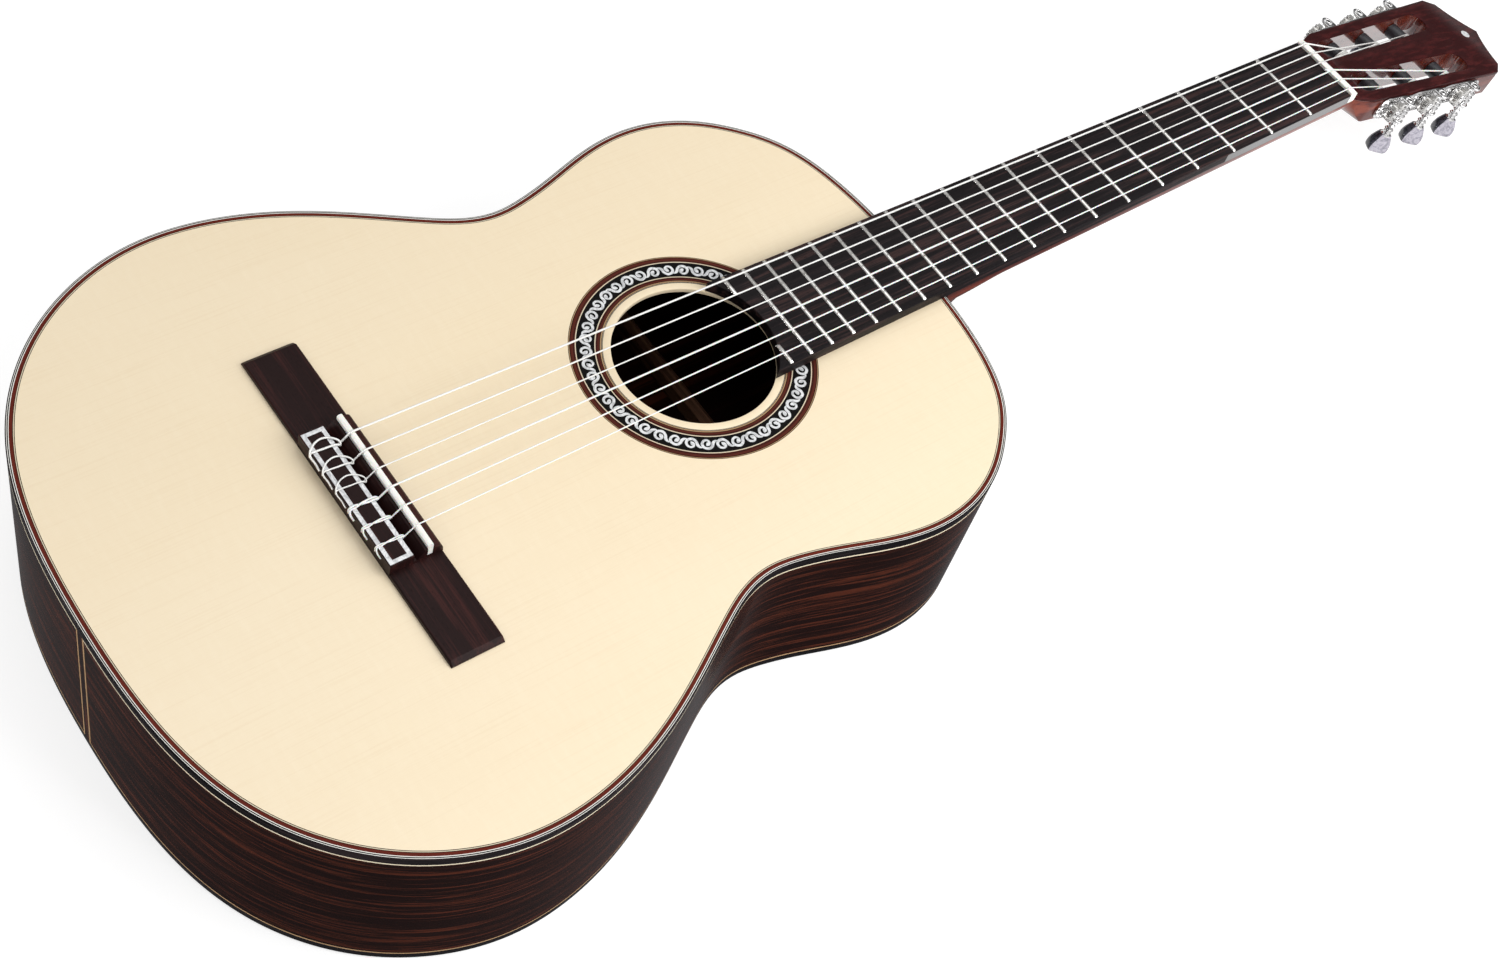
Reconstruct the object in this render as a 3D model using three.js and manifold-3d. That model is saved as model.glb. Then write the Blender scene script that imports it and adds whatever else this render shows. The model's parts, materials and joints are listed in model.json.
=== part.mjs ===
// A classical guitar, built as the real one is: a hollow body of thin plates and bent sides on linings,
// a neck with a slotted head, a fretted fingerboard, a tie bridge, six strings and two banks of worm tuners.
//
// The soundboard frame, in millimetres: z = 0 is the soundboard's upper face, y = 0 is the saddle,
// +Y runs along the strings towards the head, +X is the treble side.
// The body is shallower at the neck than at the tail, so the finished guitar is tilted by that taper
// until its flat back lies on the ground plane.
import * as THREE from "three";
import { mergeVertices } from "three/addons/utils/BufferGeometryUtils.js";
import Module from "manifold-3d";

const wasm = await Module();
wasm.setup();

// ---------------------------------------------------------------- driving dimensions

const GAP = 0.2; // between two pieces that touch
const SCALE_LENGTH = 650; // nut to saddle
const BODY_JOINT = SCALE_LENGTH / 2; // the twelfth fret lies on the body's edge
const TAIL = -149.4;
const DEPTH_AT_TAIL = 105;
const DEPTH_AT_NECK = 97;
const TAPER = Math.atan((DEPTH_AT_TAIL - DEPTH_AT_NECK) / (BODY_JOINT - TAIL));

// Half of the body's outline from the tail to the neck: a place, the heading of the curve there in
// degrees, and how far its handles reach before and after it.
const OUTLINE = [
  { x: 0, y: TAIL, heading: 0, before: 61, after: 61 },
  { x: 142.8, y: -108.6, heading: 42.6, before: 49, after: 36 }, // tail corner
  { x: 183.6, y: -20, heading: 90, before: 30, after: 76 }, // lower bout
  { x: 124, y: 137, heading: 90, before: 32, after: 33 }, // waist
  { x: 143.6, y: 231, heading: 90, before: 34, after: 32.5 }, // upper bout
  { x: 105, y: 303.4, heading: 141.7, before: 27.6, after: 30.6 }, // shoulder
  { x: 0, y: BODY_JOINT, heading: 180, before: 33, after: 33 },
];
const STEPS_BETWEEN = [5, 5, 7, 5, 5, 5]; // straight steps in each stretch of the outline

const SOUNDBOARD_THICK = 2.6;
const BACK_THICK = 2.8;
const SIDE_THICK = 2.2;
const BINDING_WIDE = 1.9;
const BINDING_DEEP = 4.9;
const LINING_WIDE = 6;
const LINING_DEEP = 14;
const GRAFT_WIDE = 5;
const TENON_WIDE = 24;
const BLOCK_WIDE = 70;
const BLOCK_SAG = 1.9; // how far the outline curves away across the width of a block
const END_BLOCK_LONG = 25;
const FOOT_LONG = 31; // the neck's foot inside the body

const SOUNDHOLE = { y: 179.15, radius: 42.4 };
const ROSETTE = { inner: 46.5, outer: 63.9, thick: 1.2 };

const NUT_WIDE = 48.5;
const WIDE_AT_JOINT = 58.5;
const NUT_LONG = 5.8;
const BOARD_TOP = 6.8; // the fingerboard's upper face
const FRETS = 19;
const FRET = { wide: 2, tall: 1, sunk: 0.6 };
const NUT_TOP = 7.8;
const SADDLE_TOP = 12.3;
const STRING_REST = 0.2; // between a string and the nut or saddle below it

const BRIDGE = { half: 94.5, front: 6.9, back: -21.2, wing: 3.2, block: 41, lip: 9.3, tie: 9 };
const SADDLE = { half: 40.7, thick: 2.9, floor: 4.2 };
const CHANNEL = { front: -4.4, back: -8.6, floor: 4.2 }; // between the saddle and the tie block
const TIE_HOLE = { radius: 1, z: 6.4 };
const INLAY = { half: 40.2, front: -8.7, back: -20.6, bar: 2.2, thick: 0.8 };
const SADDLE_SPACING = 11.6;
const NUT_SPACING = 8;
const STRING_DIAMETERS = [1.09, 0.89, 0.74, 1.02, 0.82, 0.71]; // from the low string to the high one
const STRING_AT_ROLLER = [20, 16, 14, 14, 16, 19]; // distance from the centre line

const HEAD = { tilt: THREE.MathUtils.degToRad(11.2), z: 3.5, thick: 18.5, length: 170.7, face: 2.4 };
const BANK_SPLAY = THREE.MathUtils.degToRad(2.1);
const BANK = { x: 17, s: 70 }; // the centre of the treble slot; the banks' own sizes are measured from it
const SLOT = { half: 7.7, reach: 59 };
const HEAD_SIDE = 15.4; // from the slot's centre line to the head's side
const TUNER_PITCH = 36;
const FIRST_ROLLER = -33;
const ROLLER_DEPTH = -HEAD.thick / 2;
const ROLLER = { barrel: 4.75, half: 7.2, pin: 2.5, pinEnd: -12.5, shaft: 2.9, spigot: 2 };
const RUN = 0.5; // running clearance of the rollers in the wood
const PLATE = { in: 15.6, out: 17.1, start: -47, end: 62, high: -1.4, low: -17.1 };
const GEAR = { from: 19, to: 23, teeth: 14, pitch: 6.3, tip: 7.05, root: 5.2, bore: 2.3 };
const WORM_OFFSET = 9; // along the bank, from a roller to its worm
const WORM = { pitch: 2.7, tip: 3.45, root: 1.6, high: -4.6, low: -13.9, top: -1, end: -24.3 };
const EAR = { half: 4, thick: 1.8, reach: 4.5, hole: 2 };
const BUTTON = { top: -24.5, bottom: -42.5, half: 7.2, flatness: 0.52 };

const guitar = new THREE.Group();

// ---------------------------------------------------------------- solids

function signedVolume(positions, indices) {
  const [a, b, c] = [new THREE.Vector3(), new THREE.Vector3(), new THREE.Vector3()];
  let sum = 0;
  for (let i = 0; i < indices.length; i += 3) {
    a.fromArray(positions, indices[i] * 3);
    b.fromArray(positions, indices[i + 1] * 3);
    c.fromArray(positions, indices[i + 2] * 3);
    sum += a.dot(b.cross(c));
  }
  return sum / 6;
}

// A closed geometry from points and triangles, turned so that its faces point out.
function closedGeometry(positions, indices) {
  const turned = signedVolume(positions, indices) < 0 ? indices.slice().reverse() : indices;
  const geometry = new THREE.BufferGeometry();
  geometry.setAttribute("position", new THREE.Float32BufferAttribute(positions, 3));
  geometry.setIndex(Array.from(turned));
  geometry.computeVertexNormals();
  return geometry;
}

// The same geometry with one vertex for each place.
function welded(geometry) {
  const bare = geometry.clone();
  bare.deleteAttribute("normal");
  bare.deleteAttribute("uv");
  const merged = mergeVertices(bare, 1e-3);
  return closedGeometry(Array.from(merged.attributes.position.array), Array.from(merged.index.array));
}

function solid(geometry) {
  const g = welded(geometry);
  const vertProperties = new Float32Array(g.attributes.position.array);
  const triVerts = new Uint32Array(g.index.array);
  return new wasm.Manifold(new wasm.Mesh({ numProp: 3, vertProperties, triVerts }));
}

function geometryOf(manifold) {
  const m = manifold.getMesh();
  const positions = [];
  for (let i = 0; i < m.numVert; i++) {
    const at = i * m.numProp;
    positions.push(m.vertProperties[at], m.vertProperties[at + 1], m.vertProperties[at + 2]);
  }
  return closedGeometry(positions, Array.from(m.triVerts));
}

function joined(...geometries) {
  return geometryOf(geometries.map(solid).reduce((whole, piece) => whole.add(piece)));
}

function cut(geometry, ...cutters) {
  return geometryOf(cutters.map(solid).reduce((rest, cutter) => rest.subtract(cutter), solid(geometry)));
}

function box([x0, x1], [y0, y1], [z0, z1]) {
  const g = new THREE.BoxGeometry(x1 - x0, y1 - y0, z1 - z0);
  return g.translate((x0 + x1) / 2, (y0 + y1) / 2, (z0 + z1) / 2);
}

// A flat shape in x and y, filled from one height to another.
function slab(shape, z0, z1, curveSegments = 12) {
  const g = new THREE.ExtrudeGeometry(shape, { depth: z1 - z0, bevelEnabled: false, curveSegments });
  return g.translate(0, 0, z0);
}

// A profile of [y, z] points, filled from x0 to x1.
function bar(profile, x0, x1) {
  const shape = new THREE.Shape(profile.map(([y, z]) => new THREE.Vector2(y, z)));
  const g = new THREE.ExtrudeGeometry(shape, { depth: x1 - x0, bevelEnabled: false });
  const axes = new THREE.Matrix4().makeBasis(
    new THREE.Vector3(0, 1, 0),
    new THREE.Vector3(0, 0, 1),
    new THREE.Vector3(1, 0, 0),
  );
  return g.applyMatrix4(axes).translate(x0, 0, 0);
}

// A turned piece: [radius, distance] points about the x axis.
function turnedAlongX(profile, segments) {
  const points = profile.map(([radius, along]) => new THREE.Vector2(radius, along));
  return new THREE.LatheGeometry(points, segments).rotateZ(-Math.PI / 2);
}

// A turned piece: [radius, height] points about the z axis.
function turnedAlongZ(profile, segments) {
  const points = profile.map(([radius, along]) => new THREE.Vector2(radius, along));
  return new THREE.LatheGeometry(points, segments).rotateX(Math.PI / 2);
}

function rodAlongX(radius, x0, x1, y, z, segments = 10) {
  return turnedAlongX([[0, x0], [radius, x0], [radius, x1], [0, x1]], segments).translate(0, y, z);
}

function rodAlongY(radius, y0, y1, x, z, segments = 6) {
  const g = new THREE.CylinderGeometry(radius, radius, y1 - y0, segments);
  return g.translate(x, (y0 + y1) / 2, z);
}

// A skin over a row of closed loops that all have the same number of points, with both ends closed.
function loft(loops) {
  const count = loops[0].length;
  const positions = loops.flat().flatMap((p) => [p.x, p.y, p.z]);
  const indices = [];
  for (let i = 0; i + 1 < loops.length; i++) {
    for (let j = 0; j < count; j++) {
      const [a, b] = [i * count + j, i * count + ((j + 1) % count)];
      indices.push(a, b, b + count, a, b + count, a + count);
    }
  }
  const last = (loops.length - 1) * count;
  for (let j = 1; j + 1 < count; j++) {
    indices.push(0, j + 1, j, last, last + j, last + j + 1);
  }
  return closedGeometry(positions, indices);
}

// A path whose steps fall exactly on its points.
class Route extends THREE.Curve {
  constructor(points) {
    super();
    this.points = points;
  }

  getPoint(t) {
    const at = t * (this.points.length - 1);
    const i = Math.min(Math.floor(at), this.points.length - 2);
    return this.points[i].clone().lerp(this.points[i + 1], at - i);
  }

  getPointAt(u) {
    return this.getPoint(u);
  }

  getSpacedPoints() {
    return this.points;
  }

  getTangentAt(u) {
    const i = Math.round(u * (this.points.length - 1));
    const tangent = new THREE.Vector3();
    for (const [from, to] of [[i - 1, i], [i, i + 1]]) {
      if (from >= 0 && to < this.points.length) {
        tangent.add(this.points[to].clone().sub(this.points[from]).normalize());
      }
    }
    return tangent.normalize();
  }
}

function swept(points, section) {
  const shape = new THREE.Shape(section);
  return new THREE.ExtrudeGeometry(shape, { steps: points.length - 1, extrudePath: new Route(points) });
}

function ring(radius, sides) {
  return Array.from({ length: sides }, (_, i) => {
    const angle = (i / sides) * 2 * Math.PI;
    return new THREE.Vector2(radius * Math.cos(angle), radius * Math.sin(angle));
  });
}

// ---------------------------------------------------------------- meshes

const COLOURS = {
  spruce: [0xe9cfa4, 0.35, 0],
  rosewood: [0x3a1a14, 0.25, 0],
  ebony: [0x1b1717, 0.3, 0],
  cedar: [0x7d3420, 0.35, 0],
  innerWood: [0xc9a06a, 0.7, 0],
  inlay: [0x6b4a33, 0.3, 0],
  bone: [0xf3efe2, 0.3, 0],
  maple: [0xb98a5a, 0.4, 0],
  nylon: [0xe8ecec, 0.2, 0],
  wound: [0xb9b4a8, 0.35, 1],
  nickel: [0xd6d6d4, 0.2, 1],
  steel: [0xa8a8a8, 0.3, 1],
  rollerPlastic: [0x17161a, 0.4, 0],
  pearl: [0x3c3e48, 0.2, 0],
};

function add(name, geometry, colour, parent = guitar) {
  const [color, roughness, metalness] = COLOURS[colour];
  const mesh = new THREE.Mesh(geometry, new THREE.MeshStandardMaterial({ color, roughness, metalness }));
  mesh.name = name;
  parent.add(mesh);
  return mesh;
}

// ---------------------------------------------------------------- the body's outline

// Height of the back's outer face: the plane that the finished guitar lies on.
function backFace(y) {
  return -DEPTH_AT_TAIL + (y - TAIL) * Math.tan(TAPER);
}

function heading(degrees) {
  const angle = THREE.MathUtils.degToRad(degrees);
  return new THREE.Vector2(Math.cos(angle), Math.sin(angle));
}

// Stations along the treble half, tail first: a point on the outline and the direction into the body.
function trebleStations() {
  const stations = [];
  for (let i = 0; i + 1 < OUTLINE.length; i++) {
    const [from, to] = [OUTLINE[i], OUTLINE[i + 1]];
    const [p, q] = [new THREE.Vector2(from.x, from.y), new THREE.Vector2(to.x, to.y)];
    const curve = new THREE.CubicBezierCurve(
      p,
      p.clone().addScaledVector(heading(from.heading), from.after),
      q.clone().addScaledVector(heading(to.heading), -to.before),
      q,
    );
    for (let step = i ? 1 : 0; step <= STEPS_BETWEEN[i]; step++) {
      const t = step / STEPS_BETWEEN[i];
      const tangent = curve.getTangent(t);
      stations.push({ at: curve.getPoint(t), inward: new THREE.Vector2(-tangent.y, tangent.x) });
    }
  }
  return stations;
}

const TREBLE = trebleStations();

function mirroredStation({ at, inward }) {
  return { at: new THREE.Vector2(-at.x, at.y), inward: new THREE.Vector2(-inward.x, inward.y) };
}

const WHOLE = [...TREBLE, ...TREBLE.slice(1, -1).reverse().map(mirroredStation)];

function insetPoint({ at, inward }, inset) {
  return at.clone().addScaledVector(inward, inset);
}

// The station where a stretch between two others reaches a given x.
function stationAtX(a, b, x) {
  const t = (x - a.at.x) / (b.at.x - a.at.x);
  return { at: a.at.clone().lerp(b.at, t), inward: a.inward.clone().lerp(b.inward, t) };
}

// The treble half without its ends: from startX at the tail to endX at the neck.
function trimmedStations(startX, endX) {
  const widest = TREBLE.findIndex(({ at }) => at.y > 0);
  const first = TREBLE.findIndex(({ at }) => at.x > startX);
  const last = TREBLE.findIndex(({ at }, i) => i > widest && at.x < endX);
  return [
    stationAtX(TREBLE[first - 1], TREBLE[first], startX),
    ...TREBLE.slice(first, last),
    stationAtX(TREBLE[last - 1], TREBLE[last], endX),
  ];
}

// One cross-section of a band: its corners are [inset, height above the plane y => z] pairs.
function bandSection(station, corners) {
  return corners.map(([inset, height]) => {
    const p = insetPoint(station, inset);
    return new THREE.Vector3(p.x, p.y, height(p.y));
  });
}

// A closed band all round the outline.
function bandAround(corners) {
  const loops = WHOLE.map((station) => bandSection(station, corners));
  const count = corners.length;
  const positions = loops.flat().flatMap((p) => [p.x, p.y, p.z]);
  const indices = [];
  loops.forEach((_, i) => {
    const next = ((i + 1) % loops.length) * count;
    for (let j = 0; j < count; j++) {
      const k = (j + 1) % count;
      indices.push(i * count + j, i * count + k, next + k, i * count + j, next + k, next + j);
    }
  });
  return closedGeometry(positions, indices);
}

// The same with its x turned round, for the bass half.
function mirrored(geometry) {
  const { position } = geometry.attributes;
  const positions = Array.from(position.array, (value, i) => (i % 3 ? value : -value));
  return closedGeometry(positions, Array.from(geometry.index.array));
}

const belowTop = (depth) => () => -depth;
const aboveBack = (height) => (y) => backFace(y) + height;

function outlineShape(inset) {
  return new THREE.Shape(WHOLE.map((station) => insetPoint(station, inset)));
}

function circlePath(y, radius, sides) {
  const points = ring(radius, sides).map((p) => new THREE.Vector2(p.x, p.y + y));
  return new THREE.Path(points.reverse());
}

// Half the body's width, inside the given inset, at a place along it.
function halfWidth(y, inset) {
  const points = TREBLE.map((station) => insetPoint(station, inset));
  const i = points.findIndex((p, n) => n > 0 && points[n - 1].y <= y && p.y > y);
  const t = (y - points[i - 1].y) / (points[i].y - points[i - 1].y);
  return THREE.MathUtils.lerp(points[i - 1].x, points[i].x, t);
}

// ---------------------------------------------------------------- the body

const PLATE_INSET = BINDING_WIDE + GAP;
const SIDE_TOP = BINDING_DEEP + GAP;
const LINING_INSET = SIDE_THICK + GAP;
const LINING_INNER = LINING_INSET + LINING_WIDE;
const LINING_TOP = SOUNDBOARD_THICK + GAP;
const LINING_BOTTOM = BACK_THICK + GAP;
const INSIDE_LINING = LINING_INNER + 2 * GAP;

function flatRing(y, inner, outer, z0, z1, sides) {
  const profile = [[inner, z0], [outer, z0], [outer, z1], [inner, z1], [inner, z0]];
  return turnedAlongZ(profile, sides).translate(0, y, 0);
}

function makeSoundboard() {
  const sides = 48;
  const shape = outlineShape(PLATE_INSET);
  shape.holes.push(circlePath(SOUNDHOLE.y, SOUNDHOLE.radius, sides));
  const channel = flatRing(
    SOUNDHOLE.y,
    ROSETTE.inner - GAP,
    ROSETTE.outer + GAP,
    -ROSETTE.thick - GAP,
    1,
    sides,
  );
  add("soundboard", cut(slab(shape, -SOUNDBOARD_THICK, 0), channel), "spruce");
  const inlay = flatRing(SOUNDHOLE.y, ROSETTE.inner, ROSETTE.outer, -ROSETTE.thick, 0, sides);
  add("rosette", welded(inlay), "inlay");
}

// The back lies between two planes that both follow the taper.
function makeBack() {
  const plate = welded(slab(outlineShape(PLATE_INSET), 0, BACK_THICK));
  const { position } = plate.attributes;
  for (let i = 0; i < position.count; i++) {
    position.setZ(i, position.getZ(i) + backFace(position.getY(i)));
  }
  add("back_plate", plate, "rosewood");
}

function makeSides() {
  const stations = trimmedStations(GRAFT_WIDE / 2 + GAP, TENON_WIDE / 2 + GAP);
  const corners = [
    [0, belowTop(SIDE_TOP)],
    [SIDE_THICK, belowTop(SIDE_TOP)],
    [SIDE_THICK, aboveBack(SIDE_TOP)],
    [0, aboveBack(SIDE_TOP)],
  ];
  const side = loft(stations.map((station) => bandSection(station, corners)));
  add("treble_side", side, "rosewood");
  add("bass_side", mirrored(side), "rosewood");
  const half = GRAFT_WIDE / 2;
  const low = backFace(TAIL) + SIDE_TOP + GAP;
  const graft = box([-half, half], [TAIL + 0.05, TAIL + SIDE_THICK], [low, -SIDE_TOP]);
  add("end_graft", graft, "maple");
}

function makeBindings() {
  const section = (plane) => [
    [0, plane(0)],
    [BINDING_WIDE, plane(0)],
    [BINDING_WIDE, plane(BINDING_DEEP)],
    [0, plane(BINDING_DEEP)],
  ];
  add("top_binding", bandAround(section(belowTop)), "ebony");
  add("back_binding", bandAround(section(aboveBack)), "ebony");
}

function makeLinings() {
  const lip = 4;
  const section = (from, plane) => [
    [LINING_INSET, plane(from)],
    [LINING_INNER, plane(from)],
    [LINING_INNER, plane(from + lip)],
    [LINING_INSET, plane(from + LINING_DEEP)],
  ];
  add("top_lining", bandAround(section(LINING_TOP, belowTop)), "innerWood");
  add("back_lining", bandAround(section(LINING_BOTTOM, aboveBack)), "innerWood");
}

// The end block stands behind the graft, notched round both linings.
function makeEndBlock() {
  const half = BLOCK_WIDE / 2;
  const outer = TAIL + SIDE_THICK + BLOCK_SAG;
  const notch = TAIL + INSIDE_LINING + BLOCK_SAG;
  const inner = outer + END_BLOCK_LONG;
  const low = backFace(inner) + LINING_BOTTOM;
  const tall = box([-half, half], [notch, inner], [low, -LINING_TOP]);
  const lowNotch = backFace(inner) + LINING_BOTTOM + LINING_DEEP + GAP;
  const middle = box([-half, half], [outer, notch + 1], [lowNotch, -LINING_TOP - LINING_DEEP - GAP]);
  add("end_block", joined(tall, middle), "innerWood");
}

// A bar with a sloped back edge, glued across a plate from lining to lining.
function crossBar(name, y, wide, tall, face, direction, colour) {
  const reach = Math.min(halfWidth(y - wide / 2, INSIDE_LINING), halfWidth(y + wide / 2, INSIDE_LINING));
  const crown = 0.55 * wide;
  const profile = [
    [y - wide / 2, face],
    [y + wide / 2, face],
    [y + wide / 2, face + direction * (tall - crown)],
    [y, face + direction * tall],
    [y - wide / 2, face + direction * (tall - crown)],
  ];
  add(name, bar(profile, -reach, reach), colour);
}

function makeBars() {
  const barWide = 7;
  const barTall = 16;
  const clear = 12; // from the soundhole's edge to the bar
  const away = SOUNDHOLE.radius + clear;
  crossBar("harmonic_bar_upper", SOUNDHOLE.y + away, barWide, barTall, -LINING_TOP, -1, "innerWood");
  crossBar("harmonic_bar_lower", SOUNDHOLE.y - away, barWide, barTall, -LINING_TOP, -1, "innerWood");
  const places = [212, 90, -45];
  places.forEach((y, i) => {
    const face = backFace(y + barWide / 2) + LINING_BOTTOM;
    crossBar(`back_brace_${i + 1}`, y, barWide, barTall - 2, face, 1, "innerWood");
  });
}

// Five thin braces spread out from the soundhole under the lower bout.
function makeFanBraces() {
  const wide = 6;
  const tall = 4.5;
  const headEnd = SOUNDHOLE.y - SOUNDHOLE.radius - 12 - wide;
  const tailEnds = [-104, -112, -114, -112, -104];
  tailEnds.forEach((tailEnd, i) => {
    const place = i - 2;
    const [xHead, xTail] = [place * 22, place * 44];
    const long = Math.hypot(headEnd - tailEnd, xTail - xHead);
    const brace = box([-wide / 2, wide / 2], [0, long], [-LINING_TOP - tall, -LINING_TOP]);
    brace.rotateZ(Math.atan2(xTail - xHead, headEnd - tailEnd));
    brace.translate(xTail, tailEnd, 0);
    add(`fan_brace_${i + 1}`, brace, "spruce");
  });
}

// ---------------------------------------------------------------- the head's frames

// The head frame: x as before, y along the face from the nut's back edge, z out of the face.
const HEAD_FRAME = new THREE.Matrix4()
  .makeTranslation(0, SCALE_LENGTH + NUT_LONG + GAP, HEAD.z)
  .multiply(new THREE.Matrix4().makeRotationX(-HEAD.tilt));

// A bank's frame: x along the rollers, outwards, y along the bank, z out of the face.
// side is 1 for the treble bank and -1 for the bass bank, which is its mirror image.
function bankFrame(side) {
  return HEAD_FRAME.clone()
    .multiply(new THREE.Matrix4().makeScale(side, 1, 1))
    .multiply(new THREE.Matrix4().makeTranslation(BANK.x, BANK.s, 0))
    .multiply(new THREE.Matrix4().makeRotationZ(-BANK_SPLAY));
}

const rollerPlaces = [0, 1, 2].map((i) => FIRST_ROLLER + i * TUNER_PITCH);

// Half of the head's outline in the head frame, from the nut to the peak.
function headShape() {
  const side = (s) => BANK.x + HEAD_SIDE + (s - BANK.s) * Math.tan(BANK_SPLAY);
  const shape = new THREE.Shape();
  const [shoulder, corner, crown] = [16, 150, 158];
  const [crownHalf, dipHalf, dip] = [29.5, 13, 162];
  shape.moveTo(0, 0);
  shape.lineTo(NUT_WIDE / 2, 0);
  shape.quadraticCurveTo(side(shoulder) - 3.5, 4, side(shoulder), shoulder);
  shape.lineTo(side(corner), corner);
  shape.lineTo(crownHalf, crown);
  shape.quadraticCurveTo(dipHalf, dip, 0, HEAD.length);
  shape.quadraticCurveTo(-dipHalf, dip, -crownHalf, crown);
  shape.lineTo(-side(corner), corner);
  shape.lineTo(-side(shoulder), shoulder);
  shape.quadraticCurveTo(-side(shoulder) + 3.5, 4, -NUT_WIDE / 2, 0);
  shape.closePath();
  return shape;
}

// A slot with round ends, in its bank's frame.
function slotShape() {
  const shape = new THREE.Shape();
  const end = SLOT.reach - SLOT.half;
  shape.absarc(0, end, SLOT.half, 0, Math.PI, false);
  shape.absarc(0, -end, SLOT.half, Math.PI, 2 * Math.PI, false);
  return shape;
}

function slotCutters() {
  return [1, -1].map((side) => welded(slab(slotShape(), -30, 10, 6).applyMatrix4(bankFrame(side))));
}

function rollerHoleCutters() {
  return [1, -1].flatMap((side) =>
    rollerPlaces.flatMap((place) =>
      [
        rodAlongX(ROLLER.pin + RUN, ROLLER.pinEnd - RUN, 0, place, ROLLER_DEPTH),
        rodAlongX(ROLLER.shaft + RUN, 0, HEAD_SIDE + 5, place, ROLLER_DEPTH),
      ].map((rod) => welded(rod.applyMatrix4(bankFrame(side)))),
    ),
  );
}

// ---------------------------------------------------------------- the neck

function boardWidth(y) {
  return WIDE_AT_JOINT + ((NUT_WIDE - WIDE_AT_JOINT) * (y - BODY_JOINT)) / (SCALE_LENGTH - BODY_JOINT);
}

// A neck section is flat on top and round below.
function neckSection(y, depth) {
  const steps = 12;
  return Array.from({ length: steps + 1 }, (_, i) => {
    const angle = (i / steps) * Math.PI;
    const across = Math.sign(Math.cos(angle)) * Math.abs(Math.cos(angle)) ** 0.8;
    return new THREE.Vector3(
      (boardWidth(Math.min(y, SCALE_LENGTH)) / 2) * across,
      y,
      -depth * Math.sin(angle) ** 0.85,
    );
  });
}

// The heel narrows downwards, and its front edge sweeps up into the neck's underside.
function heel() {
  const foot = BODY_JOINT + 1.5 * GAP;
  const [top, bottom] = [-6, backFace(foot) + 0.5];
  const levels = 9;
  const steps = 12;
  const loops = Array.from({ length: levels }, (_, level) => {
    const t = level / (levels - 1);
    const half = THREE.MathUtils.lerp(WIDE_AT_JOINT / 2 - 0.5, 11, t ** 0.8);
    const long = 20 + 52 * (1 - t) ** 2.4;
    return Array.from({ length: steps + 1 }, (__, i) => {
      const angle = (i / steps) * Math.PI;
      const z = THREE.MathUtils.lerp(top, bottom, t);
      return new THREE.Vector3(half * Math.cos(angle), foot + long * Math.sin(angle), z);
    });
  });
  return loft(loops);
}

function makeNeck() {
  const foot = BODY_JOINT + 1.5 * GAP;
  const [deepAtHeel, deepAtNut] = [17.5, 15.5];
  const nutBack = SCALE_LENGTH + NUT_LONG;
  const shaft = loft([
    neckSection(foot, deepAtHeel),
    neckSection(SCALE_LENGTH - 12, deepAtNut),
    neckSection(nutBack - 4, deepAtNut - 1),
    neckSection(nutBack, deepAtNut - 3.5),
  ]);
  const head = slab(headShape(), -HEAD.thick, -HEAD.face - GAP, 6).applyMatrix4(HEAD_FRAME);
  const half = BLOCK_WIDE / 2;
  const notch = BODY_JOINT - INSIDE_LINING - BLOCK_SAG;
  const inner = notch - FOOT_LONG + INSIDE_LINING;
  const low = backFace(notch) + LINING_BOTTOM;
  const block = box([-half, half], [inner, notch], [low, -LINING_TOP]);
  const middleLow = low + LINING_DEEP + GAP;
  const middleTop = -LINING_TOP - LINING_DEEP - GAP;
  const middle = box([-half, half], [notch - 1, BODY_JOINT - SIDE_THICK - BLOCK_SAG], [middleLow, middleTop]);
  const tenon = box([-TENON_WIDE / 2, TENON_WIDE / 2], [notch - 1, foot + 5], [middleLow, middleTop]);
  const wood = joined(shaft, heel(), welded(head), block, middle, tenon);
  const nutSeat = box([-half, half], [SCALE_LENGTH - 1, nutBack + GAP], [0, 2 * HEAD.z]);
  add("neck", cut(wood, nutSeat, ...slotCutters(), ...rollerHoleCutters()), "cedar");
  const face = welded(slab(headShape(), -HEAD.face, 0, 6).applyMatrix4(HEAD_FRAME));
  add("head_faceplate", cut(face, nutSeat, ...slotCutters()), "rosewood");
}

function fretPlace(number) {
  return SCALE_LENGTH * 2 ** (-number / 12);
}

// The board ends in a hollow arc that follows the soundhole.
function fingerboardShape() {
  const nutHalf = NUT_WIDE / 2;
  const rim = SOUNDHOLE.radius + GAP;
  const endHalf = boardWidth(SOUNDHOLE.y + rim / 2) / 2 + 0.4;
  const opening = Math.asin(endHalf / rim);
  const shape = new THREE.Shape();
  shape.absarc(0, SOUNDHOLE.y, rim, Math.PI / 2 + opening, Math.PI / 2 - opening, true);
  shape.lineTo(nutHalf, SCALE_LENGTH - GAP);
  shape.lineTo(-nutHalf, SCALE_LENGTH - GAP);
  shape.closePath();
  return shape;
}

// A fret from x0 to x1; its foot is sunk in the board.
function fretBar(y, x0, x1) {
  const { wide, tall, sunk } = FRET;
  const profile = [
    [y - wide / 2, BOARD_TOP - sunk],
    [y + wide / 2, BOARD_TOP - sunk],
    [y + wide / 2, BOARD_TOP + 0.3 * tall],
    [y + wide / 5, BOARD_TOP + tall],
    [y - wide / 5, BOARD_TOP + tall],
    [y - wide / 2, BOARD_TOP + 0.3 * tall],
  ];
  return bar(profile, x0, x1);
}

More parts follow.
